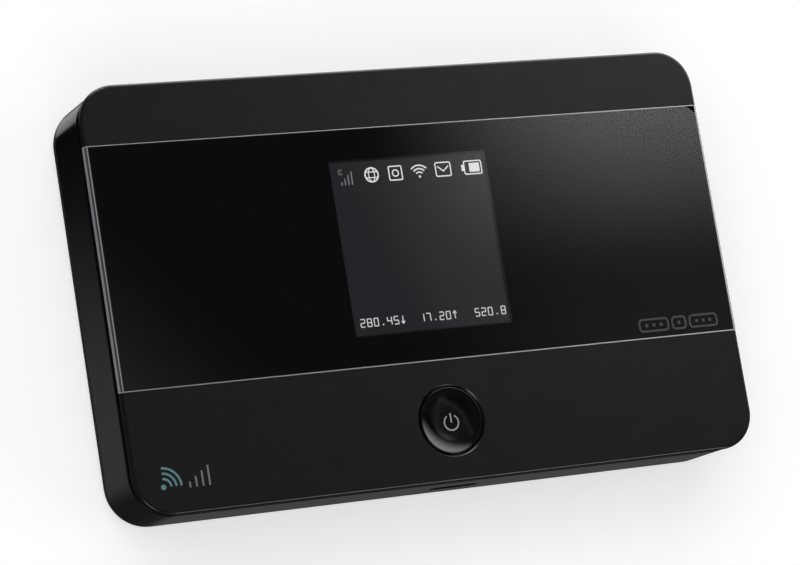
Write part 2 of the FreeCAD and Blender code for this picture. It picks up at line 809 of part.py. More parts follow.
def make_board_parts():
    left = ("-shield_place", "shield_width")
    right = ("shield_place", "shield_width")
    depth = ("0", "shield_depth")
    parts = [
        shield("baseband_shield", left, depth),
        shield("power_shield", right, depth),
        shield("radio_shield", ("0", "radio_width"), ("radio_place", "radio_depth")),
    ]
    for name, (x, width, y, chip_depth, height) in CHIPS.items():
        parts.append(on_board(name, (x, width), (y, chip_depth), height))
    inductors = []
    for place in (-1, 0, 1):
        x = (f"shield_place + {place} * inductor_pitch", "inductor_side")
        y = ("inductor_offset", "inductor_side")
        inductors.append(on_board(f"inductor_{place + 2}", x, y, "inductor_height"))
    parts.append(group("power_inductors", inductors))
    capacitors = []
    for side in (-1, 1):
        for place in range(6):
            x = (f"{side} * shield_place + ({place} - 2.5) * capacitor_pitch", "capacitor_width")
            for row_side in (-1, 1):
                y = (f"{row_side} * capacitor_row", "capacitor_depth")
                name = f"capacitor_{side + 1}_{place}_{row_side + 1}"
                capacitors.append(on_board(name, x, y, "capacitor_height"))
    parts.append(group("board_capacitors", capacitors))
    pad_x, pad_y = span("0", "pad_width"), span("radio_place", "pad_depth")
    parts.append(box("thermal_pad", pad_x, pad_y, ("board_top + shield_height", "tray_low")))
    return parts


def make_usb():
    """Micro-USB receptacle under the board's front edge."""
    body = new_body("usb_shell")
    sketch = new_sketch(body, "shell", "XZ_Plane", "case_depth / 2 - usb_setback - usb_depth")
    middle = "board_low - usb_height / 2"
    draw_rectangle(sketch, span("usb_place", "usb_width"), span(middle, "usb_height"), "usb_corner")
    pad = body.newObject("PartDesign::Pad", "usb_shell_pad")
    pad.Profile = sketch
    bind(pad, "Length", "usb_depth")
    DOC.recompute()
    offset = "case_depth / 2 - usb_setback - usb_depth + usb_back_wall"
    mouth = new_sketch(body, "mouth", "XZ_Plane", offset)
    mouth_x = span("usb_place", "usb_width - 2 * usb_wall")
    mouth_z = span(middle, "usb_height - 2 * usb_wall")
    draw_rectangle(mouth, mouth_x, mouth_z, "usb_corner - usb_wall")
    pocket = body.newObject("PartDesign::Pocket", "usb_shell_mouth_cut")
    pocket.Profile = mouth
    pocket.Reversed = True
    bind(pocket, "Length", "usb_depth")
    DOC.recompute()
    root = "usb_setback + usb_depth - usb_back_wall - case_depth / 2"
    tongue_y = (f"{root} - tongue_depth", root)
    tongue_x, tongue_z = span("usb_place", "tongue_width"), span(middle, "tongue_height")
    return [body, box("usb_tongue", tongue_x, tongue_y, tongue_z)]


def card_holder(name, x, y, cage_low, space):
    """A plastic base on the board's underside and a steel cage over the card."""
    base_low = f"{cage_low} + cage_wall + {space}"
    base_x = (f"{x[0]} + cage_wall", x[1])
    base_y = (f"{y[0]} + cage_wall", f"{y[1]} - cage_wall")
    base = box(name + "_base", base_x, base_y, (base_low, "board_low"))
    sheet = box(name + "_sheet", x, y, (cage_low, "board_low"))
    room_x = (base_x[0], f"{x[1]} + overshoot")
    room_z = (f"{cage_low} + cage_wall", "board_low + overshoot")
    room = box(name + "_room", room_x, base_y, room_z)
    # Opening in the cage's face, over the contacts
    view_x = span(f"({x[0]} + {x[1]}) / 2", "4 * contact_pitch")
    view_y = span(f"({y[0]} + {y[1]}) / 2", "contact_row")
    view_z = (f"{cage_low} - overshoot", f"{cage_low} + overshoot")
    view = box(name + "_view", view_x, view_y, view_z)
    return base, cut(name + "_cage", sheet, [room, view]), base_low


def make_card_holders():
    sim_x, sim_y = ("sim_left", "sim_right"), ("sim_front", "sim_back")
    sim_base, sim_cage, sim_low = card_holder("sim", sim_x, sim_y, "sim_cage_low", "sim_card_space")
    card_x = ("memory_card_left", "memory_card_right")
    card_y = ("memory_card_front", "memory_card_back")
    card_base, card_cage, _ = card_holder(
        "microsd", card_x, card_y, "memory_cage_low", "memory_card_space"
    )
    contacts = []
    for place in (-1, 0, 1):
        for side in (-1, 1):
            x = span(f"(sim_left + sim_right) / 2 + {side} * contact_row / 2", "contact_length")
            y = span(f"(sim_front + sim_back) / 2 + {place} * contact_pitch", "contact_width")
            z = (f"{sim_low} - contact_height", sim_low)
            contacts.append(box(f"sim_contact_{place + 1}_{side + 1}", x, y, z))
    return [sim_base, sim_cage, group("sim_contacts", contacts), card_base, card_cage]


def make_reset():
    side_x, side_y = span("reset_x", "reset_side"), span("reset_y", "reset_side")
    body_low = "board_low - reset_height"
    block = box("reset_block", side_x, side_y, (body_low, "board_low"))
    bore_z = (f"{body_low} - overshoot", f"{body_low} + reset_bore")
    bore = cylinder("reset_hole", "reset_x", "reset_y", bore_z, "reset_radius + plunger_gap")
    plunger_z = ("reset_low", f"{body_low} + reset_bore - reset_seat")
    plunger = cylinder("reset_plunger", "reset_x", "reset_y", plunger_z, "reset_radius")
    return [cut("reset_switch", block, [bore]), plunger]


# Power button and menu key ---------------------------------------------------


def make_power_button():
    body = new_body("power_button")
    spot = ("0", "button_place")
    disc(body, "cap", *spot, ("flange_top", "button_top"), "button_radius")
    dress(body, "Fillet", "cap_edge", "button_round", level_at("button_top"))
    disc(body, "flange", *spot, ("flange_low", "flange_top"), "flange_radius")
    disc(body, "stem", *spot, ("stem_low", "flange_low"), "stem_radius")
    # Spherical dish in the top face
    sketch = new_sketch(body, "dish", "YZ_Plane")
    top, centre_y = size("button_top"), size("button_place")
    radius = size("(dish_radius ^ 2 + dish_depth ^ 2) / (2 * dish_depth)")
    depth, reach = size("dish_depth"), size("dish_radius")
    bottom, middle, rim = (V(y, z, 0) for y, z in ((0, top - depth), (0, top), (reach, top)))
    low_angle = -math.pi / 2
    rim_angle = low_angle + math.asin(reach / radius)
    sphere = Part.Circle(bottom + V(0, radius, 0), V(0, 0, 1), radius)
    shapes = [
        Part.ArcOfCircle(sphere, low_angle, rim_angle),
        Part.LineSegment(bottom, middle),
        Part.LineSegment(middle, rim),
    ]
    for shape in shapes:
        shape.translate(V(centre_y, 0, 0))
    sketch.addGeometry(shapes, False)
    rules = [
        Sketcher.Constraint("Coincident", 0, 1, 1, 1),
        Sketcher.Constraint("Coincident", 1, 2, 2, 1),
        Sketcher.Constraint("Coincident", 2, 2, 0, 2),
        Sketcher.Constraint("Vertical", 1),
        Sketcher.Constraint("Horizontal", 2),
        Sketcher.Constraint("PointOnObject", 0, 3, 1),
    ]
    sketch.addConstraint(rules)
    sizes = {
        "place": (Sketcher.Constraint("DistanceX", -1, 1, 1, 2, centre_y), "button_place"),
        "level": (Sketcher.Constraint("DistanceY", -1, 1, 1, 2, top), "button_top"),
        "depth": (Sketcher.Constraint("DistanceY", 1, 1, 1, 2, depth), "dish_depth"),
        "reach": (Sketcher.Constraint("DistanceX", 2, 1, 2, 2, reach), "dish_radius"),
    }
    pin_sizes(sketch, sizes)
    before = body.Shape.Volume
    groove = body.newObject("PartDesign::Groove", "power_button_dish_cut")
    groove.Profile = sketch
    groove.ReferenceAxis = (sketch, ["Edge2"])
    groove.Angle = 360
    DOC.recompute()
    if body.Shape.Volume >= before:
        raise RuntimeError("the dish removed nothing")
    pad = cylinder("power_pad", *spot, ("pad_low", "stem_low"), "stem_radius")
    switch_top = "board_top + power_switch_height"
    side = "power_switch_side"
    block = box("power_block", span("0", side), span("button_place", side), ("board_top", switch_top))
    bore_z = (f"{switch_top} - power_bore", f"{switch_top} + overshoot")
    bore = cylinder("power_hole", *spot, bore_z, "plunger_radius + plunger_gap")
    plunger = cylinder("power_plunger", *spot, ("power_plunger_low", "pad_low"), "plunger_radius")
    return [body, pad, cut("power_switch", block, [bore]), plunger]


def make_menu_key():
    body = new_body("menu_key")
    inner = "menu_flange_back"
    face = "case_depth / 2 + menu_proud"
    cap = new_sketch(body, "cap", "XZ_Plane", f"-({face})")
    cap_x, cap_z = span("menu_x", "menu_width"), span("menu_z", "menu_height")
    draw_rectangle(cap, cap_x, cap_z, "(menu_height - menu_end_flat) / 2")
    pad = body.newObject("PartDesign::Pad", "menu_key_cap_pad")
    pad.Profile = cap
    bind(pad, "Length", f"{face} - {inner}")
    DOC.recompute()
    front = size(face)

    def outer_rim(edge):
        extent = edge.BoundBox
        return abs(extent.YMin - front) < 1e-5 and abs(extent.YMax - front) < 1e-5

    dress(body, "Fillet", "cap_edge", "menu_round", outer_rim)
    flange_x = span("menu_x", "menu_width + 2 * menu_flange_margin")
    flange_z = span("menu_z", "menu_height + 2 * menu_flange_margin")
    slab(body, "flange", flange_x, ("menu_flange_front", inner), flange_z)
    nub_y = ("menu_plunger_back", "menu_flange_front")
    nub_side = "2 * menu_nub_radius"
    slab(body, "nub", span("menu_x", nub_side), nub_y, span("menu_z", nub_side))
    plunger_y = ("menu_plunger_front", "menu_plunger_back")
    plunger = cylinder_along_y("menu_plunger", "menu_x", plunger_y, "menu_z", "menu_plunger_radius")
    switch_y = ("menu_switch_front", "menu_switch_back")
    switch_z = ("board_top", "board_top + menu_switch_height")
    block = box("menu_block", span("menu_x", "menu_switch_width"), switch_y, switch_z)
    bore_y = ("menu_switch_back - menu_bore", "menu_switch_back + overshoot")
    bore_radius = "menu_plunger_radius + plunger_gap"
    bore = cylinder_along_y("menu_hole", "menu_x", bore_y, "menu_z", bore_radius)
    return [body, cut("menu_switch", block, [bore]), plunger]


# Battery, antennas and fasteners ---------------------------------------------


def make_battery():
    body = new_body("battery_pack")
    pack_x = ("battery_left", "battery_right")
    pack_z = ("battery_low", "battery_top")
    slab(body, "cell", pack_x, span("0", "battery_depth"), pack_z, "battery_round")
    dress(body, "Fillet", "lower_edge", "battery_round", level_at("battery_low"))
    dress(body, "Fillet", "upper_edge", "battery_round", level_at("battery_top"))
    label_x = ("battery_left + label_margin", "battery_right - label_margin")
    label_y = span("0", "battery_depth - 2 * label_margin")
    label = box("battery_label", label_x, label_y, ("battery_low - label_thickness", "battery_low"))
    bay_x = span("(battery_left + battery_right) / 2", "bay_label_width")
    bay_z = ("floor_low - label_thickness", "floor_low")
    bay_label = box("bay_label", bay_x, span("0", "bay_label_depth"), bay_z)
    terminals, blades, slots = [], [], []
    blade_z = span("terminal_level", "blade_height")
    for place in range(4):
        y = f"terminal_place + ({place} - 1.5) * terminal_pitch"
        pad_x = ("battery_left - terminal_proud", "battery_left")
        pad_z = span("terminal_level", "terminal_height")
        terminals.append(box(f"terminal_{place}", pad_x, span(y, "terminal_width"), pad_z))
        blade_x = ("connector_right - blade_root", "battery_left - terminal_proud - blade_gap")
        blades.append(box(f"blade_{place}", blade_x, span(y, "blade_width"), blade_z))
        slot_x = ("connector_right - blade_root", "connector_right + overshoot")
        slots.append(box(f"slot_{place}", slot_x, span(y, "blade_width"), blade_z))
    connector_x = ("connector_left", "connector_right")
    connector_y = span("terminal_place", "connector_depth")
    housing = box("connector_block", connector_x, connector_y, ("connector_low", "board_low"))
    connector = cut("battery_connector", housing, slots)
    return [
        body,
        label,
        bay_label,
        group("battery_terminals", terminals),
        group("battery_contacts", blades),
        connector,
    ]


def make_antennas():
    parts = []
    springs = []
    for side, name in ((-1, "main_antenna"), (1, "second_antenna")):
        low, high = f"{side} * carrier_inner", f"{side} * carrier_outer"
        if side < 0:
            low, high = high, low
        depth = span("0", "carrier_depth")
        carrier = box(name + "_carrier", (low, high), depth, ("board_low", "carrier_top"))
        foil_z = ("carrier_top", "carrier_top + foil_thickness")
        foil_x = (f"{low} + foil_margin", f"{high} - foil_margin")
        foil = box(name + "_foil", foil_x, span("0", "carrier_depth - 2 * foil_margin"), foil_z)
        slot_x = span(f"({low} + {high}) / 2", "foil_slot")
        slot_y = span(f"{side} * foil_slot", "foil_slot_length")
        slot_z = ("carrier_top - overshoot", "carrier_top + overshoot")
        slot = box(name + "_slot", slot_x, slot_y, slot_z)
        parts += [carrier, cut(name, foil, [slot])]
        for end in (-1, 1):
            inner = f"{side} * spring_inner"
            outer = f"{side} * carrier_inner"
            spring_x = (inner, outer) if side > 0 else (outer, inner)
            spring_y = span(f"{end} * spring_place", "spring_width")
            spring_z = ("board_top", "board_top + spring_height")
            springs.append(box(f"spring_{side + 1}_{end + 1}", spring_x, spring_y, spring_z))
    parts.append(group("antenna_springs", springs))
    wifi = []
    for side in (-1, 1):
        middle = f"{side} * wifi_place"
        width = span(middle, "wifi_width")
        foot_y = ("wifi_back - shield_wall", "wifi_back")
        foot = box(f"wifi_foot_{side + 1}", width, foot_y, ("board_top", "board_top + wifi_height"))
        arm_y = ("wifi_back - wifi_depth", "wifi_back")
        arm_z = ("board_top + wifi_height - shield_wall", "board_top + wifi_height")
        arm = box(f"wifi_arm_{side + 1}", width, arm_y, arm_z)
        wifi.append(fuse(f"wifi_antenna_{side + 1}", [foot, arm]))
    parts.append(group("wifi_antennas", wifi))
    return parts


def screw(name, x, y, head_z, tip, radius, head_up):
    """A pan-head screw with a round drive recess."""
    head = cylinder(name + "_head", x, y, head_z, radius)
    if head_up:
        shank_z = (tip, head_z[0])
        drive_z = (f"{head_z[1]} - socket_depth", f"{head_z[1]} + overshoot")
    else:
        shank_z = (head_z[1], tip)
        drive_z = (f"{head_z[0]} - overshoot", f"{head_z[0]} + socket_depth")
    shank = cylinder(name + "_shank", x, y, shank_z, "screw_shank")
    drive = cylinder(name + "_drive", x, y, drive_z, "socket_radius")
    return cut(name, fuse(name + "_blank", [head, shank]), [drive])


def make_screws():
    case = []
    head_z = ("floor_low - screw_head_height", "floor_low")
    for number, place in enumerate(CASE_SCREWS, start=1):
        for side in (-1, 1):
            name = f"case_screw_{number}_{side + 1}"
            y = f"{side} * screw_y"
            case.append(screw(name, place, y, head_z, "screw_tip", "screw_head", False))
    board = []
    head_z = ("board_top", "board_top + board_screw_head_height")
    tip = "board_screw_tip + board_screw_gap"
    for side in (-1, 1):
        name = f"board_screw_{side + 1}"
        x = f"{side} * board_screw_x"
        board.append(screw(name, x, "board_screw_y", head_z, tip, "board_screw_head", True))
    return [group("case_screws", case), group("board_screws", board)]


def make_all():
    parts = [make_back_cover(), make_middle_frame(), make_front_cover(), make_main_board()]
    makers = (
        make_lens_parts,
        make_display,
        make_board_parts,
        make_usb,
        make_card_holders,
        make_reset,
        make_power_button,
        make_menu_key,
        make_battery,
        make_antennas,
        make_screws,
    )
    for maker in makers:
        parts += maker()
    return parts


def check(parts):
    """Stop if any object failed, or any sub-part's shape is missing or not valid."""
    DOC.recompute()
    for item in DOC.Objects:
        if "Invalid" in item.State or "Error" in item.State:
            raise RuntimeError(f"{item.Name} failed: {item.State}")
    for part in parts:
        if part.Shape.isNull() or not part.Shape.isValid() or not part.Shape.Solids:
            raise RuntimeError(f"{part.Label} has no valid solid")


PARTS = make_all()
check(PARTS)
os.makedirs("parts", exist_ok=True)
for part in PARTS:
    part.Shape.exportStep(os.path.join("parts", part.Label + ".step"))
print(f"{len(PARTS)} sub-parts written")
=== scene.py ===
import math

import bmesh
import bpy
from mathutils import Matrix, Vector


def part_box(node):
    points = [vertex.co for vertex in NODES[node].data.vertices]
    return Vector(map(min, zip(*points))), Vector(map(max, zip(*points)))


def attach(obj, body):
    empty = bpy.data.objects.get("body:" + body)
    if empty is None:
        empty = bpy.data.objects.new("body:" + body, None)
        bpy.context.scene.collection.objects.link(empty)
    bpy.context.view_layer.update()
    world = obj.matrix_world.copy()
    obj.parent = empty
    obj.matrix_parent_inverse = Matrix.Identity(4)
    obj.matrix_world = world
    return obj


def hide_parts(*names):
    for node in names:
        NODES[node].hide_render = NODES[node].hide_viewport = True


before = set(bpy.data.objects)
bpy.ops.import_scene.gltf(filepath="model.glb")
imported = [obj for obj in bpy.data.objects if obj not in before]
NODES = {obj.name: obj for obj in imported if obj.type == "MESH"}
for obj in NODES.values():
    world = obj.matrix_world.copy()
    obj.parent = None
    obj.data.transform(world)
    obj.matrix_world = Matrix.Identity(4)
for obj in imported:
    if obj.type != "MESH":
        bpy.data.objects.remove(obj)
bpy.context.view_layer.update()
MM = 0.001
HAIR = 0.01 * MM
X_AXIS, Y_AXIS, Z_AXIS = AXES = ((1.0, 0.0, 0.0), (0.0, 1.0, 0.0), (0.0, 0.0, 1.0))


# Node-based materials --------------------------------------------------------


class Finish:
    """A Principled material with helpers for its procedural inputs."""

    def __init__(self, name):
        self.material = bpy.data.materials.new(name)
        self.material.use_nodes = True
        self.tree = self.material.node_tree
        self.shader = self.tree.nodes["Principled BSDF"]
        self.place = self.tree.nodes.new("ShaderNodeTexCoord").outputs["Object"]

    def put(self, socket, value):
        """Set a number or colour on the shader, or link a node's output to it."""
        target = self.shader.inputs[socket]
        if isinstance(value, bpy.types.NodeSocket):
            self.tree.links.new(value, target)
        elif isinstance(value, tuple) and len(value) == 3:
            target.default_value = (*value, 1.0)
        else:
            target.default_value = value

    def stretched(self, scale, turn=0.0):
        node = self.tree.nodes.new("ShaderNodeMapping")
        node.inputs["Scale"].default_value = scale
        node.inputs["Rotation"].default_value = (0.0, 0.0, turn)
        self.tree.links.new(self.place, node.inputs["Vector"])
        return node.outputs["Vector"]

    def noise(self, size, detail=2.0, place=None):
        """Cloudy noise whose features are about size metres across."""
        node = self.tree.nodes.new("ShaderNodeTexNoise")
        node.inputs["Scale"].default_value = 1 / size
        node.inputs["Detail"].default_value = detail
        self.tree.links.new(place or self.place, node.inputs["Vector"])
        return node.outputs[0]

    def cells(self, size, feature="F1", place=None):
        node = self.tree.nodes.new("ShaderNodeTexVoronoi")
        node.feature = feature
        node.inputs["Scale"].default_value = 1 / size
        self.tree.links.new(place or self.place, node.inputs["Vector"])
        return node.outputs["Distance"]

    def ranged(self, value, low, high, start=0.25, end=0.75):
        node = self.tree.nodes.new("ShaderNodeMapRange")
        node.inputs["From Min"].default_value = start
        node.inputs["From Max"].default_value = end
        node.inputs["To Min"].default_value = low
        node.inputs["To Max"].default_value = high
        node.interpolation_type = "SMOOTHSTEP"
        self.tree.links.new(value, node.inputs["Value"])
        return node.outputs["Result"]

    def mixed(self, value, dark, light):
        """Blend between two colours, each a triple or an output."""
        node = self.tree.nodes.new("ShaderNodeMix")
        node.data_type = "RGBA"
        self.tree.links.new(value, node.inputs[0])
        for socket, colour in ((node.inputs[6], dark), (node.inputs[7], light)):
            if isinstance(colour, bpy.types.NodeSocket):
                self.tree.links.new(colour, socket)
            else:
                socket.default_value = (*colour, 1.0)
        return node.outputs[2]

    def varied(self, value, colour, dark, light):
        """A colour whose brightness varies between two factors."""
        return self.mixed(value, shade(colour, dark), shade(colour, light))

    def bump(self, value, depth, over=None):
        node = self.tree.nodes.new("ShaderNodeBump")
        node.inputs["Strength"].default_value = 1.0
        node.inputs["Distance"].default_value = depth
        self.tree.links.new(value, node.inputs["Height"])
        if over:
            self.tree.links.new(over, node.inputs["Normal"])
        return node.outputs["Normal"]

    def calculated(self, operation, first, second=0.0):
        """A maths node on one or two numbers or outputs."""
        node = self.tree.nodes.new("ShaderNodeMath")
        node.operation = operation
        for socket, value in zip(node.inputs, (first, second)):
            if isinstance(value, bpy.types.NodeSocket):
                self.tree.links.new(value, socket)
            else:
                socket.default_value = value
        return node.outputs[0]

    def away(self, axis, low, high):
        """Distance outside the low to high range of an axis, negative within it."""
        middle = (low[axis] + high[axis]) / 2
        offset = self.calculated("ABSOLUTE", self.calculated("SUBTRACT", self.along(AXES[axis]), middle))
        return self.calculated("SUBTRACT", offset, high[axis] - middle)

    def along(self, direction):
        """The position along a direction, in metres."""
        node = self.tree.nodes.new("ShaderNodeVectorMath")
        node.operation = "DOT_PRODUCT"
        node.inputs[1].default_value = direction
        self.tree.links.new(self.place, node.inputs[0])
        return node.outputs["Value"]


def shade(colour, factor):
    return tuple(min(1.0, channel * factor) for channel in colour)


CLOUD_SIZE = 14 * MM
WEAR_SIZE = 5 * MM


def plastic(name, colour, rough, grain=0.25 * MM, depth=0.003 * MM, specular=0.5, spread=0.05):
    """Moulded plastic: fine surface grain, cloudy colour and gloss."""
    finish = Finish(name)
    cloud = finish.ranged(finish.noise(CLOUD_SIZE, 3.0), 0.0, 1.0)
    finish.put("Base Color", finish.varied(cloud, colour, 0.85, 1.2))
    wear = finish.noise(WEAR_SIZE, 5.0)
    finish.put("Roughness", finish.ranged(wear, rough - spread, rough + spread))
    finish.put("Specular IOR Level", specular)
    finish.put("Normal", finish.bump(finish.noise(grain, 3.0), depth))
    return finish.material


MOULDING_SPREAD = 0.01


def moulding(name, colour, rough, gloss_and_shade, grain=0.16 * MM, depth=0.002 * MM):
    """Moulded plastic whose gloss changes with height: the dull band beside a groove is painted shade that
    darkens the groove.
    """
    finish = Finish(name)
    finish.put("Base Color", finish.varied(finish.noise(CLOUD_SIZE, 3.0), colour, 0.9, 1.1))
    wear = finish.noise(WEAR_SIZE, 5.0)
    finish.put("Roughness", finish.ranged(wear, rough - MOULDING_SPREAD, rough + MOULDING_SPREAD))
    # Painted shade: the specular level drops over a range of heights next to the seam's groove
    finish.put("Specular IOR Level", finish.ranged(finish.along(Z_AXIS), *gloss_and_shade))
    finish.put("Normal", finish.bump(finish.noise(grain, 3.0), depth))
    return finish.material


def metal(name, colour, rough, direction=(1.0, 12.0, 12.0), depth=0.004 * MM):
    """Rolled or plated sheet metal with fine drawn lines and dull patches."""
    finish = Finish(name)
    lines = finish.noise(0.9 * MM, 2.0, finish.stretched(direction))
    cloud = finish.ranged(finish.noise(3 * MM, 4.0), 0.0, 1.0)
    finish.put("Base Color", finish.varied(cloud, colour, 0.8, 1.1))
    finish.put("Metallic", 1.0)
    finish.put("Roughness", finish.ranged(lines, rough - 0.07, rough + 0.1))
    finish.put("Normal", finish.bump(lines, depth))
    return finish.material


def rubber(name, colour, rough=0.75, pore=0.25 * MM, depth=0.02 * MM, specular=0.3):
    """Foam, silicone or tape: open pores and a dull skin."""
    finish = Finish(name)
    pores = finish.cells(pore)
    finish.put("Base Color", finish.varied(pores, colour, 0.6, 1.2))
    finish.put("Roughness", finish.ranged(finish.noise(2 * MM), rough - 0.1, rough + 0.1))
    finish.put("Specular IOR Level", specular)
    finish.put("Normal", finish.bump(pores, depth))
    return finish.material


def solder_mask():
    """Circuit laminate: green mask over a faint weave and buried tracks."""
    finish = Finish("board_solder_mask")
    weave = finish.noise(0.35 * MM, 1.0, finish.stretched((1.0, 5.0, 1.0)))
    tracks = finish.cells(2.2 * MM, "DISTANCE_TO_EDGE")
    raised = finish.ranged(tracks, 1.0, 0.0, 0.05, 0.12)
    finish.put("Base Color", finish.mixed(raised, (0.006, 0.05, 0.026), (0.012, 0.1, 0.05)))
    finish.put("Roughness", finish.ranged(weave, 0.22, 0.36))
    finish.put("Coat Weight", 0.4)
    finish.put("Coat Roughness", 0.15)
    normal = finish.bump(weave, 0.004 * MM)
    finish.put("Normal", finish.bump(raised, 0.03 * MM, normal))
    return finish.material


# Painted highlights along the lens's edges: a strip at each short end, a line at each rim, fainter towards
# the left end
LENS_SIDE = 0.6 * MM
LENS_RIM = 0.15 * MM
SIDE_BLUR = 0.03 * MM
LINE_BLUR = 0.02 * MM
SIDE_SHINE = 0.16
RIM_SHINE = 0.55
LEFT_END_SHINE = 0.45
SHINE_COLOUR = (0.66, 0.66, 0.69)
NO_LIGHT = (0.0, 0.0, 0.0)


def clear_lens(low, high):
    """Polished acrylic with painted highlights: pale lines along its edges, fainter towards the left end.
    """
    finish = Finish("clear_acrylic")
    ends = finish.away(0, low, high)
    sides = finish.ranged(ends, 0.0, SIDE_SHINE, -LENS_SIDE - SIDE_BLUR, -LENS_SIDE + SIDE_BLUR)
    crest = finish.calculated("ABSOLUTE", finish.calculated("ADD", ends, LENS_SIDE - LENS_RIM))
    crest = finish.ranged(crest, 1.0, 0.0, 0.05 * MM, 0.1 * MM)
    rim = finish.ranged(ends, 0.0, RIM_SHINE, -LENS_RIM, -LENS_RIM / 2)
    lines = finish.ranged(finish.away(1, low, high), 0.0, 1.0, -LENS_RIM - LINE_BLUR, -LENS_RIM + LINE_BLUR)
    fade = finish.ranged(finish.along(X_AXIS), LEFT_END_SHINE, 1.0, low.x, high.x)
    # Mask of the painted edge highlights
    ridges = finish.calculated("ADD", sides, finish.calculated("MAXIMUM", crest, rim))
    edge = finish.calculated("MAXIMUM", lines, ridges)
    haze = finish.noise(9 * MM, 5.0)
    shine = finish.mixed(finish.calculated("MULTIPLY", edge, fade), NO_LIGHT, SHINE_COLOUR)
    finish.put("Base Color", finish.mixed(finish.ranged(edge, 0.0, 1.0, 0.0, 0.1), (1.0, 1.0, 1.0), shine))
    finish.put("IOR", 1.49)
    finish.put("Roughness", finish.ranged(haze, 0.0, 0.02, 0.45, 0.8))
    finish.put("Transmission Weight", finish.ranged(edge, 1.0, 0.0, 0.0, 0.12))
    return finish.material


def dark_glass():
    finish = Finish("display_glass_dark")
    cloud = finish.noise(4 * MM)
    finish.put("Base Color", finish.mixed(cloud, (0.004, 0.004, 0.005), (0.008, 0.008, 0.01)))
    finish.put("Roughness", finish.ranged(cloud, 0.04, 0.1))
    return finish.material


# Painted reflection on the screen: its emission is brighter to the right of a soft diagonal
SCREEN_GLARE_SLOPE = Vector((0.93, 0.37, 0.0))
SCREEN_GLARE_START = 8.0 * MM
SCREEN_GLARE_WIDTH = 9.0 * MM
SCREEN_DIM = (0.0095, 0.01, 0.0125)
SCREEN_WITH_GLARE = (0.0168, 0.0168, 0.0177)


def lit_screen(middle):
    """Lit display background, with a painted reflection that makes it a little brighter to the right of a
    soft diagonal.
    """
    finish = Finish("lit_screen")
    start = SCREEN_GLARE_SLOPE.dot(middle) - SCREEN_GLARE_START
    # Mask of the painted reflection across the screen
    glare = finish.ranged(finish.along(SCREEN_GLARE_SLOPE), 0.0, 1.0, start, start + SCREEN_GLARE_WIDTH)
    light = finish.mixed(glare, SCREEN_DIM, SCREEN_WITH_GLARE)
    finish.put("Base Color", (0.003, 0.003, 0.004))
    finish.put("Specular IOR Level", 0.0)
    finish.put("Roughness", finish.ranged(finish.noise(0.3 * MM), 0.4, 0.5))
    finish.put("Emission Color", light)
    finish.put("Emission Strength", 1.0)
    return finish.material


def screen_ink(name, colour, strength):
    """Lit pixels, with a faint dot pattern."""
    finish = Finish(name)
    dots = finish.cells(0.11 * MM)
    finish.put("Base Color", (0.01, 0.01, 0.01))
    finish.put("Specular IOR Level", 0.0)
    finish.put("Roughness", 0.5)
    finish.put("Emission Color", finish.varied(dots, colour, 1.0, 0.8))
    finish.put("Emission Strength", strength)
    return finish.material


def printed_ink(name, colour, rough=0.45):
    finish = Finish(name)
    speckle = finish.noise(0.12 * MM, 3.0)
    finish.put("Base Color", finish.varied(speckle, colour, 0.85, 1.1))
    finish.put("Roughness", finish.ranged(speckle, rough - 0.1, rough + 0.1))
    finish.put("Normal", finish.bump(speckle, 0.002 * MM))
    return finish.material


def label_stock():
    finish = Finish("label_stock")
    fibre = finish.noise(0.5 * MM, 6.0, finish.stretched((1.0, 3.0, 1.0)))
    finish.put("Base Color", finish.mixed(fibre, (0.6, 0.6, 0.58), (0.72, 0.72, 0.7)))
    finish.put("Roughness", finish.ranged(fibre, 0.45, 0.6))
    finish.put("Normal", finish.bump(fibre, 0.004 * MM))
    return finish.material


STEEL = metal("tinned_steel", (0.62, 0.62, 0.6), 0.3)
SCREW_STEEL = metal("zinc_plate", (0.5, 0.51, 0.53), 0.28, (4.0, 4.0, 1.0))
GOLD = metal("gold_plate", (0.83, 0.6, 0.24), 0.22, (3.0, 3.0, 3.0), 0.002 * MM)
COPPER = metal("antenna_plate", (0.72, 0.45, 0.26), 0.32, (2.0, 9.0, 2.0))
CHIP = plastic("chip_compound", (0.018, 0.018, 0.019), 0.55, 0.12 * MM, 0.006 * MM)
BEIGE = plastic("beige_polymer", (0.56, 0.49, 0.37), 0.5, 0.3 * MM, 0.006 * MM)
BLACK = plastic("black_polymer", (0.012, 0.012, 0.013), 0.42, 0.2 * MM, 0.004 * MM)
POLISH = 0.0003 * MM
BUTTON = plastic("button_satin_black", (0.0012, 0.0012, 0.0014), 0.14, 0.3 * MM, POLISH, 0.4, 0.02)
LABEL = label_stock()

# Gloss below and above a range of heights, which is where the seam's groove starts; the dull side is
# painted shade in the groove
COVER_GLOSS_AND_SHADE = (0.03, 0.4, 15.3 * MM, 15.5 * MM)
FRAME_GLOSS_AND_SHADE = (0.5, 0.1, 13.45 * MM, 13.6 * MM)

COVER_BLACK = (0.0042, 0.0042, 0.0047)
FRAME_BLACK = (0.0035, 0.0035, 0.004)
BACK_BLACK = (0.006, 0.006, 0.0065)
PRINT_BLACK = (0.002, 0.002, 0.0023)

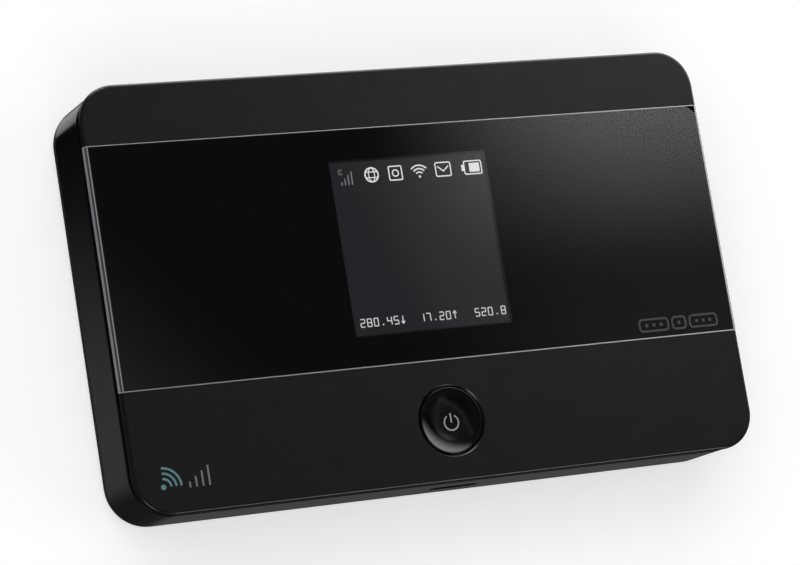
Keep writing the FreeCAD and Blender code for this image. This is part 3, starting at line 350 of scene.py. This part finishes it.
CAD_FINISHES = {
    "front_cover": moulding("front_matt_black", COVER_BLACK, 0.27, COVER_GLOSS_AND_SHADE),
    "middle_frame": moulding("frame_gloss_black", FRAME_BLACK, 0.14, FRAME_GLOSS_AND_SHADE, 0.3 * MM, POLISH),
    "back_cover": plastic("back_matt_black", BACK_BLACK, 0.42, 0.3 * MM, 0.006 * MM, 0.45, 0.015),
    "display_lens": clear_lens(*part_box("display_lens")),
    "lens_mask": plastic("black_back_print", PRINT_BLACK, 0.08, 0.4 * MM, 0.0001 * MM, 0.5, 0.02),
    "lens_adhesive": rubber("black_tape", (0.01, 0.01, 0.01)),
    "power_button": BUTTON,
    "power_pad": rubber("silicone_pad", (0.55, 0.55, 0.53), 0.5, 0.5 * MM, 0.004 * MM),
    "power_plunger": BLACK,
    "power_switch": STEEL,
    "menu_key": plastic("key_satin_black", (0.005, 0.005, 0.0055), 0.28, 0.2 * MM, 0.0015 * MM),
    "menu_switch": BLACK,
    "menu_plunger": BEIGE,
    "reset_switch": BLACK,
    "reset_plunger": BEIGE,
    "main_board": solder_mask(),
    "baseband_shield": STEEL,
    "power_shield": STEEL,
    "radio_shield": STEEL,
    "baseband_chip": CHIP,
    "memory_chip": CHIP,
    "radio_chip": CHIP,
    "power_chip": CHIP,
    "clock_crystal": STEEL,
    "power_inductors": plastic("inductor_ferrite", (0.05, 0.05, 0.052), 0.5, 0.15 * MM, 0.01 * MM),
    "board_capacitors": plastic("capacitor_ceramic", (0.42, 0.3, 0.18), 0.35, 0.15 * MM, 0.003 * MM),
    "thermal_pad": rubber("thermal_putty", (0.3, 0.34, 0.42)),
    "lcd_glass": dark_glass(),
    "lcd_polarizer": plastic("polarizer_film", (0.003, 0.003, 0.004), 0.35, 0.2 * MM, 0.0005 * MM, 0.0),
    "lcd_gasket": rubber("black_foam", (0.003, 0.003, 0.003), 0.9, specular=0.0),
    "lcd_tray": STEEL,
    "lcd_backlight": plastic("light_guide", (0.8, 0.8, 0.8), 0.25, 0.5 * MM, 0.002 * MM),
    "lcd_driver": CHIP,
    "lcd_connector": BEIGE,
    "lcd_flex": plastic("polyimide", (0.5, 0.2, 0.03), 0.3, 0.6 * MM, 0.003 * MM),
    "usb_shell": STEEL,
    "usb_tongue": BLACK,
    "sim_base": BLACK,
    "sim_cage": STEEL,
    "sim_contacts": GOLD,
    "microsd_base": BLACK,
    "microsd_cage": STEEL,
    "battery_pack": plastic("battery_wrap", (0.02, 0.021, 0.023), 0.34, 0.5 * MM, 0.004 * MM),
    "battery_label": LABEL,
    "bay_label": LABEL,
    "battery_terminals": GOLD,
    "battery_contacts": GOLD,
    "battery_connector": BLACK,
    "main_antenna_carrier": BEIGE,
    "second_antenna_carrier": BEIGE,
    "main_antenna": COPPER,
    "second_antenna": COPPER,
    "antenna_springs": GOLD,
    "wifi_antennas": GOLD,
    "case_screws": SCREW_STEEL,
    "board_screws": SCREW_STEEL,
}

SHARP_TURN = math.radians(30)


def finish_cad_nodes():
    """Give every CAD node its material, and shade its rounded faces smoothly."""
    for name, node in NODES.items():
        node.data.materials.clear()
        node.data.materials.append(CAD_FINISHES[name])
        node.data.shade_smooth()
        node.data.set_sharp_from_angle(angle=SHARP_TURN)


# Thin printed and lit marks ----------------------------------------------------

CORNER_STEPS = 4
MITRE_LIMIT = 0.4
BARB_REACH = 0.3
BARB_DEPTH = 0.32


class Marks:
    """Flat outlines that are raised into thin solids on a surface."""

    def __init__(self, centre=(0.0, 0.0), scale=MM):
        self.centre = centre
        self.scale = scale
        self.outlines = []

    def outline(self, points):
        cx, cy = self.centre
        self.outlines.append([(cx + x * self.scale, cy + y * self.scale) for x, y in points])

    def bar(self, left, low, right, high):
        self.outline([(left, low), (right, low), (right, high), (left, high)])

    def stroke(self, points, width, closed=False):
        """A line of even width through the points, with mitred corners."""
        count = len(points)
        sides = []
        for index, point in enumerate(points):
            here = Vector(point)
            before = Vector(points[index - 1]) if index or closed else here
            after = Vector(points[(index + 1) % count]) if index < count - 1 or closed else here
            run_in, run_out = (here - before), (after - here)
            run_in = run_in if run_in.length else run_out
            run_out = run_out if run_out.length else run_in
            first, second = run_in.normalized(), run_out.normalized()
            across = Vector((-first.y - second.y, first.x + second.x)).normalized()
            spread = width / 2 / max(MITRE_LIMIT, across.dot(Vector((-first.y, first.x))))
            sides.append((here + across * spread, here - across * spread))
        for index in range(count if closed else count - 1):
            (a, b), (c, d) = sides[index], sides[(index + 1) % count]
            self.outline([tuple(b), tuple(d), tuple(c), tuple(a)])

    def arc(self, x, y, radius, start, end, width, steps=20):
        """A circular stroke between two angles in degrees."""
        turns = [math.radians(start + (end - start) * step / steps) for step in range(steps + 1)]
        points = [(x + radius * math.cos(turn), y + radius * math.sin(turn)) for turn in turns]
        self.stroke(points, width)

    def dot(self, x, y, radius, steps=20):
        turns = [2 * math.pi * step / steps for step in range(steps)]
        self.outline([(x + radius * math.cos(turn), y + radius * math.sin(turn)) for turn in turns])

    def frame(self, left, low, right, high, corner, width):
        """A rounded rectangular stroke."""
        points = []
        centres = [(right - corner, low + corner), (right - corner, high - corner)]
        centres += [(left + corner, high - corner), (left + corner, low + corner)]
        for quarter, (x, y) in enumerate(centres):
            for step in range(CORNER_STEPS + 1):
                turn = math.radians(90 * quarter - 90 + 90 * step / CORNER_STEPS)
                points.append((x + corner * math.cos(turn), y + corner * math.sin(turn)))
        self.stroke(points, width, closed=True)

    def digits(self, text, x, y, width, height, pitch, line):
        """Seven-segment numerals, a point, and up and down arrows."""
        middle = y + height / 2
        segments = {
            "a": [(x, y + height), (x + width, y + height)],
            "b": [(x + width, y + height), (x + width, middle)],
            "c": [(x + width, middle), (x + width, y)],
            "d": [(x, y), (x + width, y)],
            "e": [(x, y), (x, middle)],
            "f": [(x, middle), (x, y + height)],
            "g": [(x, middle), (x + width, middle)],
        }
        lit = {"0": "abcdef", "1": "bc", "2": "abged", "4": "fgbc", "5": "afgcd", "7": "abc"}
        lit["8"] = "abcdefg"
        for index, sign in enumerate(text):
            shift = index * pitch
            centre = x + shift + width / 2
            if sign == ".":
                self.bar(centre - line * 0.7, y, centre + line * 0.7, y + line * 1.4)
            elif sign in "^v":
                tip, tail = (y + height, y) if sign == "^" else (y, y + height)
                barb = tip + (tail - tip) * BARB_DEPTH
                self.stroke([(centre, tip), (centre, tail)], line)
                self.stroke([(centre - BARB_REACH, barb), (centre, tip), (centre + BARB_REACH, barb)], line)
            for name in lit.get(sign, ""):
                (x0, y0), (x1, y1) = segments[name]
                self.stroke([(x0 + shift, y0), (x1 + shift, y1)], line)

    def build(self, name, material, level, body, thick=HAIR):
        """Raise the outlines by thick from level, a height or a function of x and y."""
        height = level if callable(level) else lambda x, y: level
        shape = bmesh.new()
        for outline in self.outlines:
            low = [shape.verts.new((x, y, height(x, y))) for x, y in outline]
            top = [shape.verts.new((x, y, height(x, y) + thick)) for x, y in outline]
            shape.faces.new(top)
            shape.faces.new(low[::-1])
            for index in range(len(outline)):
                after = (index + 1) % len(outline)
                shape.faces.new((low[index], low[after], top[after], top[index]))
        bmesh.ops.recalc_face_normals(shape, faces=shape.faces)
        mesh = bpy.data.meshes.new(name)
        shape.to_mesh(mesh)
        shape.free()
        mesh.materials.append(material)
        piece = bpy.data.objects.new(name, mesh)
        bpy.context.scene.collection.objects.link(piece)
        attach(piece, body)


# Display ------------------------------------------------------------------------

film_low, film_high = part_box("lcd_polarizer")
SCREEN_LEVEL = film_high.z + HAIR
SCREEN_MIDDLE = Vector(((film_low.x + film_high.x) / 2, (film_low.y + film_high.y) / 2, 0.0))
SCREEN_HALF = (13.25, 13.7)
ICON_ROW = 11.45
ICON_LINE = 0.2
SIGNAL_HEIGHTS = (0.55, 1.05, 1.6, 2.15)
SIGNAL_LEFT = -11.7
SIGNAL_PITCH = 0.6
SIGNAL_WIDTH = 0.22
SIGNAL_FOOT = ICON_ROW - 1.35
NETWORK_SIGN = (-11.55, ICON_ROW + 0.75)
COUNTS = (("280.45v", -12.2), ("17.20^", -2.1), ("520.8", 7.5))
COUNTS_FOOT = -12.35
COUNT_SHAPE = {"width": 0.68, "height": 1.2, "pitch": 1.14, "line": 0.16}


def make_screen():
    centre = (SCREEN_MIDDLE.x, SCREEN_MIDDLE.y)
    half_x, half_y = SCREEN_HALF
    ground = Marks(centre)
    ground.bar(-half_x, -half_y, half_x, half_y)
    ground.build("screen_ground", lit_screen(SCREEN_MIDDLE), SCREEN_LEVEL, "housing")

    level = SCREEN_LEVEL + 2 * HAIR
    faint = Marks(centre)
    for step, height in enumerate(SIGNAL_HEIGHTS):
        left = SIGNAL_LEFT + step * SIGNAL_PITCH
        faint.bar(left, SIGNAL_FOOT, left + SIGNAL_WIDTH, SIGNAL_FOOT + height)
    faint.arc(*NETWORK_SIGN, 0.38, 40, 320, 0.13, 12)
    faint.dot(*NETWORK_SIGN, 0.1, 10)
    faint.build("screen_signal", screen_ink("ink_faint", (0.8, 0.83, 0.87), 0.24), level, "housing")

    icons = Marks(centre)
    draw_globe(icons, -6.35, ICON_ROW)
    draw_ringed_square(icons, -2.25, ICON_ROW)
    draw_wireless(icons, 1.85, ICON_ROW - 0.85)
    draw_envelope(icons, 6.05, ICON_ROW)
    draw_battery(icons, 11.1, ICON_ROW)
    icons.build("screen_icons", screen_ink("ink_bright", (1.0, 1.0, 1.0), 0.85), level, "housing")

    counts = Marks(centre)
    for text, left in COUNTS:
        counts.digits(text, left, COUNTS_FOOT, **COUNT_SHAPE)
    counts.build("screen_counts", screen_ink("ink_counts", (0.95, 0.97, 1.0), 0.72), level, "housing")


def draw_globe(marks, x, y):
    radius, bulges, levels, steps = 1.12, (-0.5, 0.5), (-0.45, 0.45), 16
    fine = ICON_LINE * 0.8
    marks.arc(x, y, radius, 0, 360, ICON_LINE + 0.04, 2 * steps)
    turns = [math.pi * (step / steps - 0.5) for step in range(steps + 1)]
    for bulge in bulges:
        marks.stroke([(x + bulge * math.cos(turn), y + radius * math.sin(turn)) for turn in turns], fine)
    for level in levels:
        reach = math.sqrt(radius**2 - level**2)
        marks.stroke([(x - reach, y + level), (x + reach, y + level)], fine)


def draw_ringed_square(marks, x, y):
    for half, corner in ((1.1, 0.2), (0.5, 0.45)):
        marks.frame(x - half, y - half, x + half, y + half, corner, ICON_LINE)


def draw_wireless(marks, x, y):
    radii, ends = (0.72, 1.27, 1.82), (44, 136)
    marks.dot(x, y, ICON_LINE)
    for radius in radii:
        marks.arc(x, y, radius, *ends, ICON_LINE + 0.03)


def draw_envelope(marks, x, y):
    marks.frame(x - 1.3, y - 1.05, x + 1.3, y + 1.15, 0.25, ICON_LINE)
    marks.stroke([(x - 0.95, y + 0.55), (x, y - 0.25), (x + 0.95, y + 0.55)], ICON_LINE)


def draw_battery(marks, x, y):
    marks.frame(x - 1.35, y - 1.05, x + 1.65, y + 1.05, 0.25, ICON_LINE)
    marks.bar(x - 1.85, y - 0.5, x - 1.45, y + 0.5)
    marks.bar(x - 0.5, y - 0.72, x + 1.3, y + 0.72)


# Marks on the case ------------------------------------------------------------------

button_low, button_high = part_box("power_button")
BUTTON_X = (button_low.x + button_high.x) / 2
BUTTON_Y = (button_low.y + button_high.y) / 2
SYMBOL_SHIFT = (0.2 * MM, -0.15 * MM)
SYMBOL_RADIUS = 1.2
SYMBOL_LINE = 0.24
SYMBOL_GAP_ENDS = (122, 418)
SYMBOL_CENTRE = -0.1
SYMBOL_STEM = (SYMBOL_CENTRE, 0.4, 0.9, 1.4)
DISH_REACH = 5.02 * MM
DISH_DEPTH = 0.62 * MM
DISH_POWER = 3.6
CAP_RADIUS = 5.25 * MM
CAP_ROUND = 0.12 * MM
FLANGE_LOW = 13.5 * MM
FLANGE_TOP = 14.05 * MM
STEM_RADIUS = 1.5 * MM
DISH_RINGS = 40
ROUND_STEPS = 6


def dish_level(reach):
    """Height of the dished face at a distance from the button's axis."""
    return button_high.z - DISH_DEPTH * (1 - (reach / DISH_REACH) ** DISH_POWER)


def lathe(name, profile, place, material, body, steps=128):
    """A turned solid from a profile of radii and heights that starts and ends on the axis."""
    shape = bmesh.new()
    rings = []
    for radius, height in profile[1:-1]:
        turns = [2 * math.pi * step / steps for step in range(steps)]
        points = [(radius * math.cos(turn), radius * math.sin(turn)) for turn in turns]
        rings.append([shape.verts.new((place[0] + x, place[1] + y, height)) for x, y in points])
    for below, above in zip(rings, rings[1:]):
        for index in range(steps):
            after = (index + 1) % steps
            shape.faces.new((below[index], below[after], above[after], above[index]))
    for ring, (_, height) in ((rings[0], profile[0]), (rings[-1], profile[-1])):
        pole = shape.verts.new((place[0], place[1], height))
        for index in range(steps):
            shape.faces.new((pole, ring[index], ring[(index + 1) % steps]))
    bmesh.ops.recalc_face_normals(shape, faces=shape.faces)
    mesh = bpy.data.meshes.new(name)
    shape.to_mesh(mesh)
    shape.free()
    mesh.shade_smooth()
    mesh.set_sharp_from_angle(angle=SHARP_TURN)
    mesh.materials.append(material)
    piece = bpy.data.objects.new(name, mesh)
    bpy.context.scene.collection.objects.link(piece)
    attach(piece, body)
    return piece


def make_power_cap():
    """The power button's smooth dished cap, in place of its faceted solid."""
    reaches = [DISH_REACH * step / DISH_RINGS for step in range(DISH_RINGS + 1)]
    dish = [(reach, dish_level(reach)) for reach in reaches]
    rim = []
    for step in range(ROUND_STEPS + 1):
        turn = math.radians(90 * step / ROUND_STEPS)
        outward, down = CAP_ROUND * math.sin(turn), CAP_ROUND * (1 - math.cos(turn))
        rim.append((CAP_RADIUS - CAP_ROUND + outward, button_high.z - down))
    edge = (button_high.x - button_low.x) / 2
    flange = [(CAP_RADIUS, FLANGE_TOP), (edge, FLANGE_TOP), (edge, FLANGE_LOW), (STEM_RADIUS, FLANGE_LOW)]
    stem = [(STEM_RADIUS, button_low.z), (0.0, button_low.z)]
    cap = lathe("power_cap", dish + rim + flange + stem, (BUTTON_X, BUTTON_Y), BUTTON, "power_button")
    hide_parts("power_button")


def symbol_level(x, y):
    return dish_level(math.hypot(x - BUTTON_X, y - BUTTON_Y)) + HAIR


def make_power_symbol():
    symbol = Marks((BUTTON_X + SYMBOL_SHIFT[0], BUTTON_Y + SYMBOL_SHIFT[1]))
    symbol.arc(0.0, SYMBOL_CENTRE, SYMBOL_RADIUS, *SYMBOL_GAP_ENDS, SYMBOL_LINE, 36)
    symbol.stroke([(0.0, level) for level in SYMBOL_STEM], SYMBOL_LINE)
    ink = printed_ink("symbol_grey", (0.36, 0.36, 0.37))
    symbol.build("power_symbol", ink, symbol_level, "power_button")


FAN_PLACE = (-49.0 * MM, -29.3 * MM)
FAN_CENTRE = (0.55, 0.55)
FAN_RADII = (1.25, 2.05, 2.85)
BARS_PLACE = (-44.4 * MM, -29.3 * MM)
BARS_PITCH = 1.05
BARS_RISE = 0.72
BARS_WIDTH = 0.3
BARS_FOOT = 0.1
BARS_FIRST_TOP = 1.0
BAND_PLACE = (35.4 * MM, -12.9 * MM)
BAND_FRAMES = ((0.0, 5.2), (6.0, 8.4), (9.2, 14.2))
BAND_DOTS = (1.3, 2.6, 3.9, 7.2, 10.5, 11.7, 12.9)
BAND_HEIGHT = 1.9
MARK_LINE = 0.34


def make_case_marks():
    """Plain signal marks where a maker would print its own."""
    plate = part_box("front_cover")[1].z + HAIR / 2
    teal = Marks(FAN_PLACE)
    teal.dot(*FAN_CENTRE, 0.42)
    for radius in FAN_RADII:
        teal.arc(*FAN_CENTRE, radius, 0, 90, MARK_LINE, 16)
    ink = printed_ink("mark_teal", (0.1, 0.25, 0.27))
    teal.build("case_mark_fan", ink, plate, "housing")
    grey = Marks(BARS_PLACE)
    for step in range(4):
        left = step * BARS_PITCH
        grey.bar(left, BARS_FOOT, left + BARS_WIDTH, BARS_FIRST_TOP + step * BARS_RISE)
    ink = printed_ink("mark_grey", (0.16, 0.17, 0.18))
    grey.build("case_mark_bars", ink, plate, "housing")
    band = Marks(BAND_PLACE)
    for left, right in BAND_FRAMES:
        band.frame(left, 0.0, right, BAND_HEIGHT, 0.55, MARK_LINE)
    for x in BAND_DOTS:
        band.dot(x, BAND_HEIGHT / 2, 0.3)
    ink = printed_ink("band_mark_grey", (0.035, 0.035, 0.037))
    lens_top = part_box("display_lens")[1].z
    band.build("band_mark", ink, lens_top + HAIR / 2, "housing")


# Details that show once the back cover and battery are off ------------------------------

LABEL_MARGIN = 2.5 * MM
# Each row's length as a share of the label's, and its height in millimetres
LABEL_ROWS = ((0.9, 0.84), (0.7, 0.35), (0.82, 0.35), (0.6, 0.35), (0.75, 0.35))
LABEL_PITCH = 1.9 * MM
RING_RADIUS = 2.2 * MM
RING_LINE = 0.35 * MM
RING_SLANT = 0.6
CODE_STRIPES = 9
CODE_PITCH = 2.1 * MM
CODE_HEIGHT = 5 * MM
CODE_THIN = 0.5
CODE_WIDER = 0.35


def make_label_print(node, body, ink):
    """Plain bars, a struck-out ring and a row of stripes, where a label has its print."""
    low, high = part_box(node)
    left, right = low.x + LABEL_MARGIN, high.x - LABEL_MARGIN
    foot, head = low.y + LABEL_MARGIN, high.y - LABEL_MARGIN
    marks = Marks(scale=1.0)
    for row, (reach, height) in enumerate(LABEL_ROWS):
        level = head - row * LABEL_PITCH
        marks.bar(left, level - height * MM, left + reach * (right - left), level)
    x, y, slant = right - RING_RADIUS, foot + RING_RADIUS, RING_RADIUS * RING_SLANT
    marks.arc(x, y, RING_RADIUS, 0, 360, RING_LINE, 48)
    marks.stroke([(x - slant, y - slant), (x + slant, y + slant)], RING_LINE)
    for stripe in range(CODE_STRIPES):
        place = left + stripe * CODE_PITCH
        width = (CODE_THIN + CODE_WIDER * (stripe % 3)) * MM
        marks.bar(place, foot, place + width, foot + CODE_HEIGHT)
    marks.build(node + "_print", ink, low.z - 2 * HAIR, body)


def make_polarity_signs():
    """A plus and a minus sign on the pack beside its outer terminals."""
    low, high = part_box("battery_terminals")
    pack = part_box("battery_pack")[0]
    arm, line, inset = 0.7 * MM, 0.3 * MM, 2.0 * MM
    marks = Marks((pack.x + inset, high.y - arm), 1.0)
    marks.bar(-arm, -line / 2, arm, line / 2)
    marks.bar(-line / 2, line / 2, line / 2, arm)
    marks.bar(-line / 2, -arm, line / 2, -line / 2)
    minus = low.y + arm - (high.y - arm)
    marks.bar(-arm, minus - line / 2, arm, minus + line / 2)
    ink = printed_ink("sign_white", (0.6, 0.6, 0.6))
    marks.build("polarity_signs", ink, pack.z - 2 * HAIR, "battery")


SCREW_ROWS = (-40.0, -12.0, 40.0)
SCREW_SIDE = 28.0
CROSS_INNER = 0.45
CROSS_OUTER = 0.9
CROSS_LINE = 0.14


def make_screw_crosses():
    """Painted shade standing in for the four slots of a cross drive around the recess of each case screw.
    """
    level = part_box("case_screws")[0].z - 1.5 * HAIR
    marks = Marks()
    for x in SCREW_ROWS:
        for y in (-SCREW_SIDE, SCREW_SIDE):
            for way in (-1, 1):
                ends = sorted((way * CROSS_INNER, way * CROSS_OUTER))
                marks.bar(x + ends[0], y - CROSS_LINE, x + ends[1], y + CROSS_LINE)
                marks.bar(x - CROSS_LINE, y + ends[0], x + CROSS_LINE, y + ends[1])
    # Painted shade in the slots, made with the ink helper
    ink = printed_ink("recess_shadow", (0.008, 0.008, 0.008))
    marks.build("screw_crosses", ink, level, "housing")


PADS_PLACE = (-31.0 * MM, -20.6 * MM)
PAD_PITCH = (1.9, 1.25)
PAD_RADIUS = 0.42
CHIPS_PLACE = (-42.4 * MM, -13.5 * MM)
CHIP_LONG = 1.4
CHIP_SHORT = 0.8
CHIP_HEIGHT = 0.45 * MM
COLUMN_PITCH = 1.9
ROW_PITCH = 2.2
ROW_START = (8.4, 13.1)


def make_board_underside():
    """Gold test pads and small parts under the board, seen through the card window."""
    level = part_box("main_board")[0].z
    pads = Marks(PADS_PLACE)
    for row in range(4):
        for step in range(6):
            pads.dot(step * PAD_PITCH[0], row * PAD_PITCH[1], PAD_RADIUS, 14)
    pads.build("test_pads", GOLD, level - 2 * HAIR, "housing")
    chips = Marks(CHIPS_PLACE)
    for step in range(7):
        chips.bar(0.0, step * COLUMN_PITCH, CHIP_SHORT, step * COLUMN_PITCH + CHIP_LONG)
    left, foot = ROW_START
    for step in range(6):
        chips.bar(left + step * ROW_PITCH, foot, left + step * ROW_PITCH + CHIP_LONG, foot + CHIP_SHORT)
    ceramic = plastic("underside_ceramic", (0.3, 0.22, 0.14), 0.4, 0.15 * MM)
    chips.build("underside_chips", ceramic, level - CHIP_HEIGHT - HAIR, "housing", CHIP_HEIGHT)


def make_port_contacts():
    """Five contact strips on the receptacle's tongue."""
    low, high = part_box("usb_tongue")
    pitch, half, inset = 0.65 * MM, 0.15 * MM, 0.3 * MM
    marks = Marks(((low.x + high.x) / 2, 0.0), 1.0)
    for step in range(-2, 3):
        marks.bar(step * pitch - half, low.y + inset, step * pitch + half, high.y - inset)
    marks.build("port_contacts", GOLD, high.z + HAIR / 2, "housing", 2 * HAIR)


ARROW_PLACE = (44.5 * MM, -21.0 * MM)
ARROW_HEAD = ((0.0, -1.6), (2.6, 0.0), (0.0, 1.6))
ARROW_SHAFT = (-3.4, -0.45, 0.0, 0.45)


def make_pry_arrow():
    """A small arrow under the cover that points to its pry notch."""
    marks = Marks(ARROW_PLACE)
    marks.outline(ARROW_HEAD)
    marks.bar(*ARROW_SHAFT)
    ink = printed_ink("arrow_grey", (0.09, 0.09, 0.095))
    marks.build("pry_arrow", ink, -0.7 * HAIR, "back_cover", 0.6 * HAIR)


def make_inner_details():
    ink = printed_ink("label_ink", (0.03, 0.03, 0.035))
    make_label_print("battery_label", "battery", ink)
    make_label_print("bay_label", "housing", ink)
    make_polarity_signs()
    make_screw_crosses()
    make_board_underside()
    make_port_contacts()
    make_pry_arrow()


# Stage ---------------------------------------------------------------------------------

CAMERA_PLACE = Vector((-0.2128, -0.0777, 0.4614))
CAMERA_RIGHT = Vector((0.9048, -0.1597, 0.3947))
CAMERA_UP = Vector((0.0824, 0.9752, 0.2056))
CAMERA_LENS = 144.5
SENSOR_WIDTH = 36.0
NEAREST_SEEN = 0.01
FLOOR_HALF = 8.0
FLOOR_GLOW = 0.5
WHITE = (1.0, 1.0, 1.0)
CARD_PLACE = (0.53, 0.206, 0.816)
CARD_HALF = 0.5
CARD_COLOUR = (0.97, 0.97, 1.0)
NEAR_CORNER = (-0.75, -0.66, 0.0)
SKY_COLOUR = (0.97, 0.98, 1.0)

# Ramps on the card, in metres: the value before and after, then where it starts and ends
RIGHT_RISE = (0.0, 1.0, -0.17, -0.03)
RIGHT_FALL = (1.0, 0.0, 0.02, 0.12)
FAR_RISE = (0.2, 3.1, -0.08, 0.045)
FAR_FALL = (1.0, 0.0, 0.03, 0.1)
CORNER_RISE = (0.1, 0.6, 0.235, 0.35)
CORNER_FALL = (1.0, 0.1, 0.3, 0.37)

# Ramps of the room's light in the same form, by the y and z of a direction
ROOM_FAR = (0.0, 0.62, 0.33, 0.36)
ROOM_NEAR = (0.17, 0.0, 0.12, 0.205)
ROOM_NEAR_RISE = (0.2, 1.0, -0.28, 0.1)
ROOM_BELOW = (1.0, 0.0, -0.3, 0.0)
ROOM_ABOVE = (0.0, 0.1, -0.1, 0.2)


def add_camera():
    data = bpy.data.cameras.new("camera")
    data.lens = CAMERA_LENS
    data.sensor_width = SENSOR_WIDTH
    data.clip_start = NEAREST_SEEN
    camera = bpy.data.objects.new("camera", data)
    turn = Matrix((CAMERA_RIGHT, CAMERA_UP, CAMERA_RIGHT.cross(CAMERA_UP))).transposed().to_4x4()
    camera.matrix_world = Matrix.Translation(CAMERA_PLACE) @ turn
    bpy.context.scene.collection.objects.link(camera)
    bpy.context.scene.camera = camera


def stage_plane(name, half, place, material):
    shape = bmesh.new()
    corners = [(-half, -half), (half, -half), (half, half), (-half, half)]
    shape.faces.new([shape.verts.new((x, y, 0.0)) for x, y in corners])
    mesh = bpy.data.meshes.new(name)
    shape.to_mesh(mesh)
    shape.free()
    mesh.materials.append(material)
    plane = bpy.data.objects.new(name, mesh)
    plane.location = place
    bpy.context.scene.collection.objects.link(plane)
    return plane


def add_floor():
    """A white table that gives about half its light itself, so that shadows stay faint."""
    finish = Finish("floor_white")
    finish.put("Base Color", finish.mixed(finish.noise(0.4), (0.79, 0.79, 0.79), (0.81, 0.81, 0.81)))
    finish.put("Roughness", 0.9)
    finish.put("Specular IOR Level", 0.0)
    finish.put("Emission Color", WHITE)
    finish.put("Emission Strength", FLOOR_GLOW)
    floor = stage_plane("floor", FLOOR_HALF, (0.0, 0.0, -HAIR), finish.material)
    floor.visible_glossy = False


def hide_card(card):
    """Keep a light card out of the picture: only reflected and refracted rays meet it."""
    card.visible_camera = False
    card.visible_diffuse = False
    card.visible_shadow = False


# Direction from the part, distance, radius of the even core, outer radius, strength
SOFT_BOXES = {
    "front": ((0.43, -0.82, 0.39), 1.1, 0.2, 0.34, 4.0),
    "near": ((-0.5, -0.76, 0.41), 1.1, 0.2, 0.34, 3.6),
    "far": ((0.574, 0.819, 0.0), 0.45, 0.3, 0.78, 4.6),
}


def add_soft_boxes():
    """Round glowing cards that draw light along the part's edges and in the button's dish."""
    for name, (direction, distance, core, half, strength) in SOFT_BOXES.items():
        finish = Finish("soft_box_" + name)
        length = finish.tree.nodes.new("ShaderNodeVectorMath")
        length.operation = "LENGTH"
        finish.tree.links.new(finish.place, length.inputs[0])
        finish.put("Base Color", NO_LIGHT)
        finish.put("Specular IOR Level", 0.0)
        finish.put("Emission Color", WHITE)
        finish.put("Emission Strength", finish.ranged(length.outputs["Value"], strength, 0.0, core, half))
        way = Vector(direction).normalized()
        box = stage_plane("box_" + name, half, way * distance, finish.material)
        box.rotation_mode = "QUATERNION"
        box.rotation_quaternion = way.to_track_quat("-Z", "Y")
        hide_card(box)


def add_card():
    """A card with two soft glows: one for the far right of the band and plate, one for the near left."""
    finish = Finish("card_light")
    across = finish.along(X_AXIS)
    up = finish.along(Y_AXIS)
    far = finish.calculated("MULTIPLY", finish.ranged(across, *RIGHT_RISE), finish.ranged(up, *FAR_RISE))
    far = finish.calculated("MULTIPLY", far, finish.ranged(up, *FAR_FALL))
    far = finish.calculated("MULTIPLY", far, finish.ranged(across, *RIGHT_FALL))
    corner = finish.along(NEAR_CORNER)
    near = finish.ranged(corner, *CORNER_RISE)
    near = finish.calculated("MULTIPLY", near, finish.ranged(corner, *CORNER_FALL))
    finish.put("Base Color", NO_LIGHT)
    finish.put("Specular IOR Level", 0.0)
    finish.put("Emission Color", CARD_COLOUR)
    finish.put("Emission Strength", finish.calculated("ADD", far, near))
    hide_card(stage_plane("light_card", CARD_HALF, CARD_PLACE, finish.material))


# Azimuth and elevation in degrees, strength
SUNS = {
    "left": (160, 50, 0.8),
    "front": (250, 38, 0.7),
    "back": (95, 36, 0.8),
    "right": (350, 20, 0.7),
}
SUN_SPREAD = math.radians(60)


def add_lights():
    for name, (azimuth, elevation, strength) in SUNS.items():
        data = bpy.data.lights.new("sun_" + name, "SUN")
        data.energy = strength
        data.angle = SUN_SPREAD
        light = bpy.data.objects.new("sun_" + name, data)
        light.visible_glossy = False
        turn, rise = math.radians(azimuth), math.radians(elevation)
        way = Vector((math.cos(turn) * math.cos(rise), math.sin(turn) * math.cos(rise), math.sin(rise)))
        light.rotation_mode = "QUATERNION"
        light.rotation_quaternion = way.to_track_quat("Z", "Y")
        bpy.context.scene.collection.objects.link(light)


class World(Finish):
    """The studio around the part, by direction."""

    def __init__(self, name):
        self.material = bpy.data.worlds.new(name)
        self.material.use_nodes = True
        self.tree = self.material.node_tree
        self.shader = self.tree.nodes["Background"]
        self.place = self.tree.nodes.new("ShaderNodeTexCoord").outputs["Generated"]


def add_world():
    """An even dim room, brighter below the horizon and brightest at the far side there."""
    world = World("studio")
    y, z = world.along(Y_AXIS), world.along(Z_AXIS)
    near = world.calculated("MULTIPLY", world.ranged(y, *ROOM_NEAR), world.ranged(y, *ROOM_NEAR_RISE))
    sides = world.calculated("ADD", world.ranged(y, *ROOM_FAR), near)
    low = world.calculated("MULTIPLY", world.ranged(z, *ROOM_BELOW), sides)
    world.put("Color", SKY_COLOUR)
    world.put("Strength", world.calculated("ADD", low, world.ranged(z, *ROOM_ABOVE)))
    bpy.context.scene.world = world.material


finish_cad_nodes()
make_screen()
make_power_cap()
make_power_symbol()
make_case_marks()
make_inner_details()
add_floor()
add_card()
add_soft_boxes()
add_lights()
add_world()
add_camera()
bpy.context.scene.view_settings.view_transform = "Standard"
